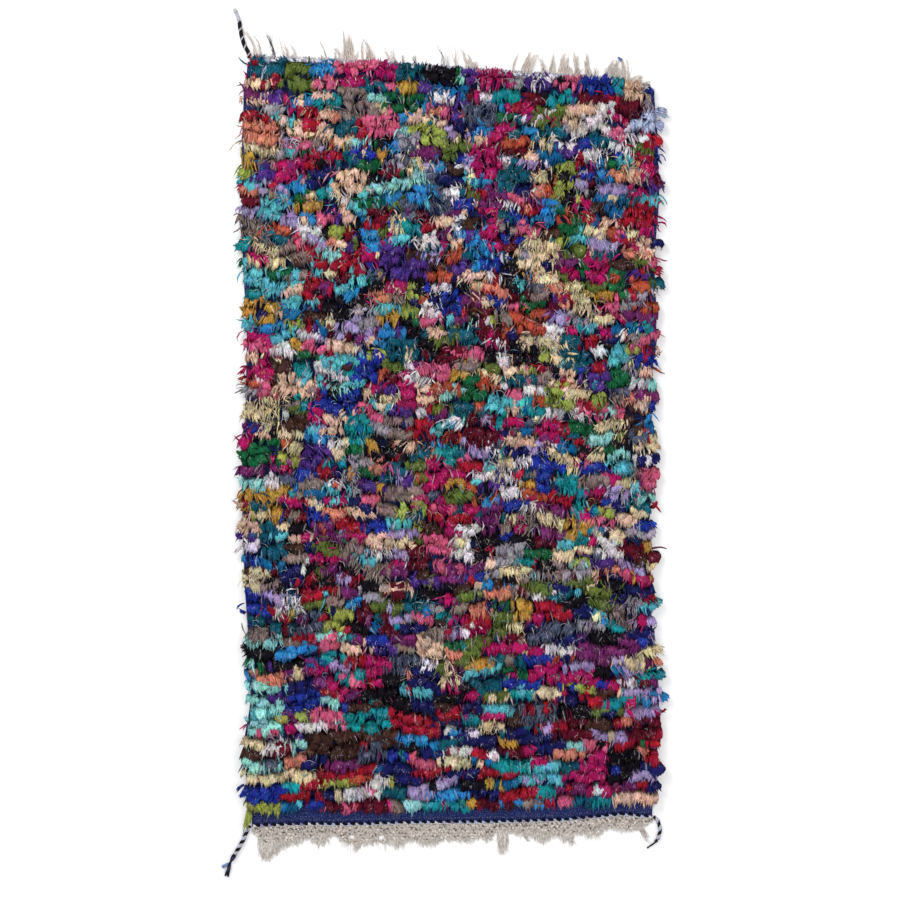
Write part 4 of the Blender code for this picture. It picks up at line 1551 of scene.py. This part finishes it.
@dataclass
class LooseWarp:
    """The sparse loose warp ends above the top edge, and the strip of knots that they hang from."""

    tufts: tuple[Tuft, ...] = (
        Tuft(258, 8, 243.5, 22, 5, 1.2, 3.0), Tuft(275, 3, 265, 31, 1, 0.9, 1.0, True),
        Tuft(274, 1, 271, 24, 0.5, 0.3, -1.5, True), Tuft(267, 8, 267, 50, 5, 0.5),
        Tuft(286, 5, 278.5, 35, 2, 0.5), Tuft(291, 8, 287, 43, 3, 0.8, 1.0), Tuft(294, 6, 290, 51, 4, 0.8),
        Tuft(327.5, 3, 318, 32, 1.5, 0.6, 0.8), Tuft(321, 4, 321, 53, 4, 0.5), Tuft(340, 9, 336, 44, 3, 0.6, -1.0),
        Tuft(347, 13, 346.5, 29, 3, 1.7, 1.5), Tuft(352, 8, 351, 45, 3, 0.8, 1.0),
        Tuft(365, 7, 363.5, 36, 2, 1.1, -0.8), Tuft(371, 7, 367, 40, 3, 0.7, 1.5),
        Tuft(393, 4, 384.5, 44, 4, 0.5, 1.5), Tuft(395, 5, 391, 48, 4, 0.4), Tuft(404, 4, 404, 53, 2, 0.7),
        Tuft(415, 3, 415, 53, 1, 0.6, 0.0, True), Tuft(385, 2, 385, 57, 1, 0.6, 0.0, True),
        Tuft(445, 1, 436, 42, 0.6, 0.5, 1.2, True), Tuft(449, 4, 449, 45, 4, 0.4, -1.0),
        Tuft(457, 5, 453.5, 45, 6, 0.5, 1.0), Tuft(470, 7, 461, 46, 1.5, 1.3, 1.0),
        Tuft(473, 9, 478.5, 59, 3, 0.9, -1.0), Tuft(514, 4, 519, 51, 2, 0.6, -1.0),
        Tuft(524, 9, 529, 49, 3, 1.3, 1.2), Tuft(529, 7, 542, 50, 4, 1.2, -1.0), Tuft(545, 6, 540, 54, 5, 1.0, 1.2),
        Tuft(554, 8, 554.5, 51, 1.5, 1.2), Tuft(563, 11, 566.5, 51, 3, 1.4), Tuft(570, 18, 570, 63, 12, 1.5),
        Tuft(578, 6, 574.5, 50, 1, 1.3), Tuft(588, 8, 585.5, 51, 4, 1.1, 1.0), Tuft(593, 11, 589, 59, 5, 1.0, 1.5),
        Tuft(611, 9, 617.5, 57, 3, 1.3, -1.0), Tuft(619, 15, 620, 56, 5, 1.4), Tuft(627, 6, 623.5, 57, 4, 1.1, 1.0),
        Tuft(635, 12, 643.5, 73, 2, 0.9, -1.0), Tuft(643, 8, 648, 78, 4, 0.8), Tuft(607, 4, 609, 66, 2, 0.5),
    )
    edge: float = 0.0136
    parts: int = 6
    wisp_width: float = 3.2
    fibres_a_pixel: float = 2.1
    ragged: float = 2.2
    blue_knot: tuple[float, float] = (620.0, 57.5)
    seed: int = 61

    def spot(self, distance: float, out: float) -> Vector:
        """Finds a point above the top edge."""
        width = (LAYOUT.place(1, 1) - LAYOUT.place(0, 1)).length
        return LAYOUT.place(max(0.0, min(1.0, distance / width)), 1) + Vector((0, self.edge + out))

    def root(self, x: float) -> Vector:
        """Finds the top edge's point at one of the photo's columns."""
        return self.spot(LAYOUT.from_photo(x, 0).x - LAYOUT.top_left[0], 0)

    def fibres(self, source: random.Random) -> list[Strand]:
        """Makes every tuft from fibres that draw together towards its tip, some of them short."""
        made = []
        pixel = LAYOUT.metres_a_pixel
        habits: dict[int, tuple[float, float, float]] = {}
        for tuft in self.tufts:
            tip = LAYOUT.from_photo(tuft.tip_x, tuft.tip_y)
            wisps = max(1, round(tuft.width / self.wisp_width))
            for number in range(round((5 + tuft.width * self.fibres_a_pixel) * tuft.dense)):
                wisp = number % wisps
                if number < wisps:
                    habits[wisp] = (source.gauss(0, 0.5), source.uniform(0.70, 1.0), source.gauss(0, 1.2))
                aim, long, bend = habits[wisp]
                across = 2 * (wisp + 0.5) / wisps - 1
                root = self.root(tuft.root + across * tuft.width / 2 + source.gauss(0, 0.22) * self.wisp_width)
                spread = (0.9 * across + aim + source.gauss(0, 0.4)) * (tuft.narrow + self.ragged) / 2 * pixel
                end = tip + Vector((spread, source.uniform(-1.0, 1.0) * pixel))
                reach = long * (1 - 0.5 * source.random() ** 1.5) if wisp else 1 - 0.45 * source.random() ** 1.5
                wave, phase = source.gauss(0, 0.0022), source.uniform(0, math.pi)
                bow = (tuft.bow + bend + source.gauss(0, 0.5)) * pixel
                points = []
                for part in range(self.parts + 1):
                    share = reach * part / self.parts
                    aside = bow * math.sin(math.pi * share) + wave * math.sin(7 * share + phase)
                    high = 0.0016 + 0.0045 * math.sin(math.pi * share) * source.random()
                    points.append(lifted(root.lerp(end, share) + Vector((aside, 0)), high))
                light = source.uniform(0.74, 1.10) * (0.42 if source.random() < 0.12 else 1.0)
                tint = tuple(part * light for part in linear((74, 66, 72) if tuft.dark else (240, 228, 218)))
                thick = 0.0006 if tuft.dark else source.uniform(0.0006, 0.0010)
                made.append(Strand(points, thick, 0.0004, tint))
        return made

    def knots(self, source: random.Random) -> list[Tied]:
        """Lays the strip of small knots that holds the loose ends."""
        items = []
        width = (LAYOUT.place(1, 1) - LAYOUT.place(0, 1)).length
        count = int(width / 0.0085)
        for number in range(2, count - 1):
            for row in (0, 1):
                distance = (number + 0.5 * row + source.uniform(-0.2, 0.2)) * 0.0085
                turn = math.radians((35 if row else -35) + source.uniform(-15, 15))
                size = tuple(source.uniform(0.7, 1.05) for _ in range(3))
                base = source.choice(((222, 212, 204), (214, 208, 214), (186, 196, 222)))
                light = source.uniform(0.75, 1.0)
                tint = tuple(part * light for part in linear(base))
                spot = lifted(self.spot(distance, 0.001 + 0.0035 * row), 0.0006)
                items.append(Tied(spot, (0, 0, turn), size, 0, tint))
        for turn in (-0.5, 0.4, 1.3):
            middle = LAYOUT.from_photo(*self.blue_knot) + Vector((turn, -turn)) * 0.003
            items.append(Tied(lifted(middle, 0.003), (0, 0, turn), (1.2, 1.3, 1.3), 0, linear((104, 116, 170))))
        return items

    def build(self, tie: TieOn, spin: SpinYarns) -> list[bpy.types.Object]:
        """Makes the strip of knots and the loose ends."""
        source = random.Random(self.seed)
        finish = ClothFinish(
            "loose_warp_cotton", blotches=260, fibres=1400, darkest=0.85, palest=1.1, bump_depth=0.0004
        ).material()
        strip = tie.make("top_warp_knots", [grain(0.0095, 0.0046, 0.0036)], self.knots(source), finish, 0.001, 200)
        ends = spin.make("top_warp_ends", self.fibres(source), finish)
        return [settle(piece, Mount.WARP, "fringe_top") for piece in (strip, ends)]


# Cords


def smooth_route(corner: Vector, points: Sequence[tuple[float, float]], step: float) -> list[Vector]:
    """Draws a smooth line through points from a corner, in even steps.

    Args:
        corner: The corner that the points are measured from.
        points: Steps from that corner.
        step: About how long each part is.

    Returns:
        Points along the line, on the floor.
    """
    knots = [corner + Vector(point) for point in points]
    knots = [2 * knots[0] - knots[1], *knots, 2 * knots[-1] - knots[-2]]
    fine = []
    for number in range(1, len(knots) - 2):
        before, first, second, after = knots[number - 1 : number + 3]
        for part in range(20):
            share = part / 20
            square, cube = share**2, share**3
            fine.append(
                0.5
                * (
                    2 * first
                    + (second - before) * share
                    + (2 * before - 5 * first + 4 * second - after) * square
                    + (3 * first - before - 3 * second + after) * cube
                )
            )
    fine.append(knots[-2])
    lengths = [0.0]
    for first, second in zip(fine, fine[1:]):
        lengths.append(lengths[-1] + (second - first).length)
    count = max(2, round(lengths[-1] / step))
    even, spot = [], 0
    for number in range(count + 1):
        target = lengths[-1] * number / count
        while spot < len(fine) - 2 and lengths[spot + 1] < target:
            spot += 1
        share = (target - lengths[spot]) / max(1e-9, lengths[spot + 1] - lengths[spot])
        even.append(fine[spot].lerp(fine[spot + 1], min(1.0, share)))
    return even


@dataclass
class CornerCord:
    """A short rope or tail that lies on the floor from one corner of the rug."""

    name: str
    slot: Mount
    corner: tuple[float, float]
    points: Sequence[tuple[float, float]]
    # columns: share of the length, radius
    radii: Table
    tints: Sequence[tuple[int, int, int]]
    twist: float = 0.024
    depth: float = 0.20
    sides: int = 20
    step: float = 0.0016
    seed: int = 3

    def line(self) -> list[Vector]:
        """Gives the cord's middle line, one radius above the floor."""
        route = smooth_route(Vector(self.corner), self.points, self.step)
        last = len(route) - 1
        return [lifted(spot, eased(self.radii, number / last)) for number, spot in enumerate(route)]

    def build(self) -> bpy.types.Object:
        """Sweeps a lobed section along the line, one lobe for each yarn, and closes both ends."""
        source = random.Random(self.seed)
        line = self.line()
        last = len(line) - 1
        lobes = len(self.tints)
        points, faces, tints = [], [], []
        for number, spot in enumerate(line):
            ahead = line[min(last, number + 1)] - line[max(0, number - 1)]
            ahead.z = 0
            aside = Vector((-ahead.y, ahead.x, 0)).normalized()
            radius = eased(self.radii, number / last)
            roll = 2 * math.pi * number * self.step / self.twist
            for side in range(self.sides):
                angle = 2 * math.pi * side / self.sides
                turn = (angle - roll) / (2 * math.pi) * lobes
                bulge = abs(math.sin(math.pi * turn)) ** 0.7
                reach = radius * (1 - self.depth + self.depth * bulge) * source.uniform(0.95, 1.0)
                points.append(spot + (aside * math.cos(angle) + Vector((0, 0, 1)) * math.sin(angle)) * reach)
                # painted shade: each yarn's tint darkens towards the grooves between the lobes
                light = (0.55 + 0.45 * bulge) * source.uniform(0.9, 1.1)
                tints.append(tuple(part * light for part in linear(self.tints[math.floor(turn) % lobes])))
        for ring in range(last):
            for side in range(self.sides):
                other = (side + 1) % self.sides
                low, high = ring * self.sides, (ring + 1) * self.sides
                faces.append((low + side, low + other, high + other, high + side))
        faces.append(tuple(reversed(range(self.sides))))
        faces.append(tuple(range(last * self.sides, (last + 1) * self.sides)))
        finish = ClothFinish(self.name + "_yarn", blotches=500, fibres=1800, bump_depth=0.0004).material()
        made = mesh_from(self.name + "_rope", points, faces, finish)
        paint(made.data, tints)
        return settle(made, self.slot)


# Studio


@dataclass
class Studio:
    """The camera straight above the rug, soft light from the top left, and a pale floor."""

    lens: float = 85.0
    sensor: float = 36.0
    frame_width: float = 2.43
    photo_size: float = 900.0
    pile_high: float = 0.02
    key_power: float = 112.0
    fill_power: float = 40.0
    sky: float = 0.74
    floor_glow: float = 0.12

    def camera(self) -> None:
        """Puts the camera where the photo was taken from."""
        data = bpy.data.cameras.new("photo_camera")
        data.lens = self.lens
        data.sensor_width = self.sensor
        made = bpy.data.objects.new("photo_camera", data)
        middle = LAYOUT.from_photo(self.photo_size / 2, self.photo_size / 2)
        made.location = lifted(middle, self.pile_high + self.frame_width * self.lens / self.sensor)
        bpy.context.collection.objects.link(made)
        bpy.context.scene.camera = made

    def light(self, name: str, place: Sequence[float], size: float, power: float) -> None:
        """Adds one square soft light that faces the rug's middle."""
        data = bpy.data.lights.new(name, "AREA")
        data.size = size
        data.energy = power
        made = bpy.data.objects.new(name, data)
        made.location = place
        made.rotation_euler = (-Vector(place)).to_track_quat("-Z", "Y").to_euler()
        bpy.context.collection.objects.link(made)

    def floor(self) -> None:
        """Lays the pale floor."""
        finish = bpy.data.materials.new("pale_floor")
        finish.use_nodes = True
        shader = finish.node_tree.nodes["Principled BSDF"]
        shader.inputs["Base Color"].default_value = (0.93, 0.93, 0.94, 1.0)
        shader.inputs["Roughness"].default_value = 0.9
        shader.inputs["Specular IOR Level"].default_value = 0.1
        shader.inputs["Emission Color"].default_value = (1.0, 1.0, 1.0, 1.0)
        shader.inputs["Emission Strength"].default_value = self.floor_glow
        half = 15.0
        corners = ((-half, -half, 0), (half, -half, 0), (half, half, 0), (-half, half, 0))
        mesh_from("pale_floor", [Vector(spot) for spot in corners], [(0, 1, 2, 3)], finish)

    def build(self) -> None:
        """Sets everything up."""
        self.camera()
        self.light("key_light", (-2.4, 2.8, 3.4), 2.2, self.key_power)
        self.light("fill_light", (3.0, -1.0, 3.6), 3.0, self.fill_power)
        self.floor()
        world = bpy.data.worlds.new("soft_sky")
        world.use_nodes = True
        world.node_tree.nodes["Background"].inputs["Color"].default_value = (1.0, 1.0, 1.0, 1.0)
        world.node_tree.nodes["Background"].inputs["Strength"].default_value = self.sky
        bpy.context.scene.world = world
        bpy.context.scene.view_settings.view_transform = "Standard"


BLACK_YARN = (26, 22, 34)
PALE_YARN = (190, 194, 216)
GREY_YARN = (196, 194, 200)
RAG_BLUE = (118, 142, 192)


def corner_cords() -> list[tuple[CornerCord, list[CornerCord], str, float, list[str]]]:
    """Lists the three braids, each with its tails, far end, thickness and the solids that they stand for."""
    thick, thin = ((0.0, 0.0060), (1.0, 0.0060)), ((0.0, 0.0055), (1.0, 0.0055))
    braid = (BLACK_YARN, BLACK_YARN, PALE_YARN, GREY_YARN)
    dark_braid = (BLACK_YARN, BLACK_YARN, BLACK_YARN, BLACK_YARN, GREY_YARN)
    wrap_radii = ((0.0, 0.0050), (0.1, 0.0056), (0.6, 0.0050), (0.75, 0.0062), (1.0, 0.0042))
    knot_radii = ((0.0, 0.0045), (0.10, 0.0068), (0.22, 0.0060), (0.34, 0.0030), (0.6, 0.0052), (1.0, 0.0030))
    tail_radii = ((0.0, 0.0042), (0.15, 0.0048), (0.30, 0.0026), (1.0, 0.0022))
    side_radii = ((0.0, 0.0022), (0.6, 0.0044), (1.0, 0.0024))
    rag_radii = ((0.0, 0.0020), (0.5, 0.0042), (0.95, 0.0048), (1.0, 0.0030))
    top_left = CornerCord(
        "braid_top_left", Mount.BRAID, LAYOUT.top_left,
        (
            (0.004, 0.0138), (0.002, 0.028), (-0.008, 0.046), (-0.015, 0.068), (-0.020, 0.092),
            (-0.0225, 0.112),
        ),
        thick, dark_braid,
    )
    wrapped = CornerCord(
        "wrapped_end_top_left", Mount.WRAP, LAYOUT.top_left,
        ((-0.0228, 0.1138), (-0.0262, 0.1240), (-0.0310, 0.1350), (-0.0360, 0.1470)),
        wrap_radii, (GREY_YARN, PALE_YARN, GREY_YARN, PALE_YARN, GREY_YARN), 0.02, 0.12,
    )
    bottom_left = CornerCord(
        "braid_bottom_left", Mount.BRAID, LAYOUT.bottom_left,
        ((-0.0054, -0.0075), (-0.014, -0.022), (-0.022, -0.042), (-0.033, -0.062), (-0.046, -0.0845)),
        thick, braid,
    )
    black_tail = CornerCord(
        "black_tail", Mount.BLACK, LAYOUT.bottom_left,
        (
            (-0.0463, -0.0850), (-0.053, -0.096), (-0.060, -0.109), (-0.0635, -0.127),
            (-0.0655, -0.146),
        ),
        knot_radii, (BLACK_YARN, BLACK_YARN, (60, 60, 90)), 0.03, 0.15,
    )
    side_tail = CornerCord(
        "side_tail", Mount.BLACK, LAYOUT.bottom_left,
        ((-0.0620, -0.1160), (-0.0668, -0.1300), (-0.0735, -0.1440)),
        side_radii, (BLACK_YARN, BLACK_YARN, (60, 60, 90)), 0.03, 0.15,
    )
    pale_tail = CornerCord(
        "pale_tail", Mount.BLACK, LAYOUT.bottom_left,
        ((-0.0605, -0.1085), (-0.0690, -0.1130), (-0.0815, -0.1200)),
        rag_radii, (RAG_BLUE, RAG_BLUE, RAG_BLUE), 0.09, 0.10,
    )
    bottom_right = CornerCord(
        "braid_bottom_right", Mount.BRAID, LAYOUT.bottom_right,
        ((0.0045, -0.0075), (0.014, -0.018), (0.0205, -0.036), (0.020, -0.053), (0.0145, -0.069)),
        thin, braid,
    )
    thin_tail = CornerCord(
        "thin_tail", Mount.BLACK, LAYOUT.bottom_right,
        ((0.0136, -0.0702), (0.0080, -0.0780), (-0.0010, -0.0850), (-0.0140, -0.0940)),
        tail_radii, (BLACK_YARN, BLACK_YARN, (70, 70, 96)), 0.02, 0.15,
    )
    return [
        (top_left, [wrapped], "knot", 0.012, ["braid_top_left", "wrapped_end_top_left"]),
        (bottom_left, [black_tail, side_tail, pale_tail], "knot", 0.012, ["braid_bottom_left", "tails_bottom_left"]),
        (bottom_right, [thin_tail], "knot", 0.011, ["braid_bottom_right", "tails_bottom_right"]),
    ]


def build_cords() -> list[bpy.types.Object]:
    """Builds every braid with its tails."""
    made = []
    for cord, tails, far_end, diameter, nodes in corner_cords():
        piece = cord.build()
        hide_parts(nodes[0])
        others = [tail.build() for tail in tails]
        for other in others:
            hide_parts(nodes[1])
        line = cord.line()
        made += [piece, *others]
    return made


def main() -> None:
    """Builds the rug from its floor up."""
    logging.basicConfig(level=logging.INFO, format="%(name)s: %(message)s")
    Studio().build()
    cords = build_cords()
    tie, spin = TieOn(), SpinYarns()
    ground = settle(GroundWeave().build(), Mount.WEAVE, "ground_weave")
    pieces = RagPile().build(tie)
    pieces.append(LooseThreads().build(spin))
    pieces.append(TwinedRow("bottom_twined_row", "twining_bottom", 0, -1, specks=180).build(tie))
    faded = (Dye.MIST, Dye.WHITE, Dye.LILAC, Dye.MIST)
    dull = (Dye.MIST, Dye.SLATE, Dye.MIST, Dye.GREY)
    pieces.append(TwinedRow("top_twined_row", "twining_top", 1, 1, pale=faded, dark=dull, loose=0.003, out=0.0062).build(tie))
    pieces += WarpBand().build(tie, spin)
    pieces += LooseWarp().build(tie, spin)
    log.info("%d pieces besides %d on cords", len(pieces) + 1, len(cords))


if __name__ == "__main__":
    main()
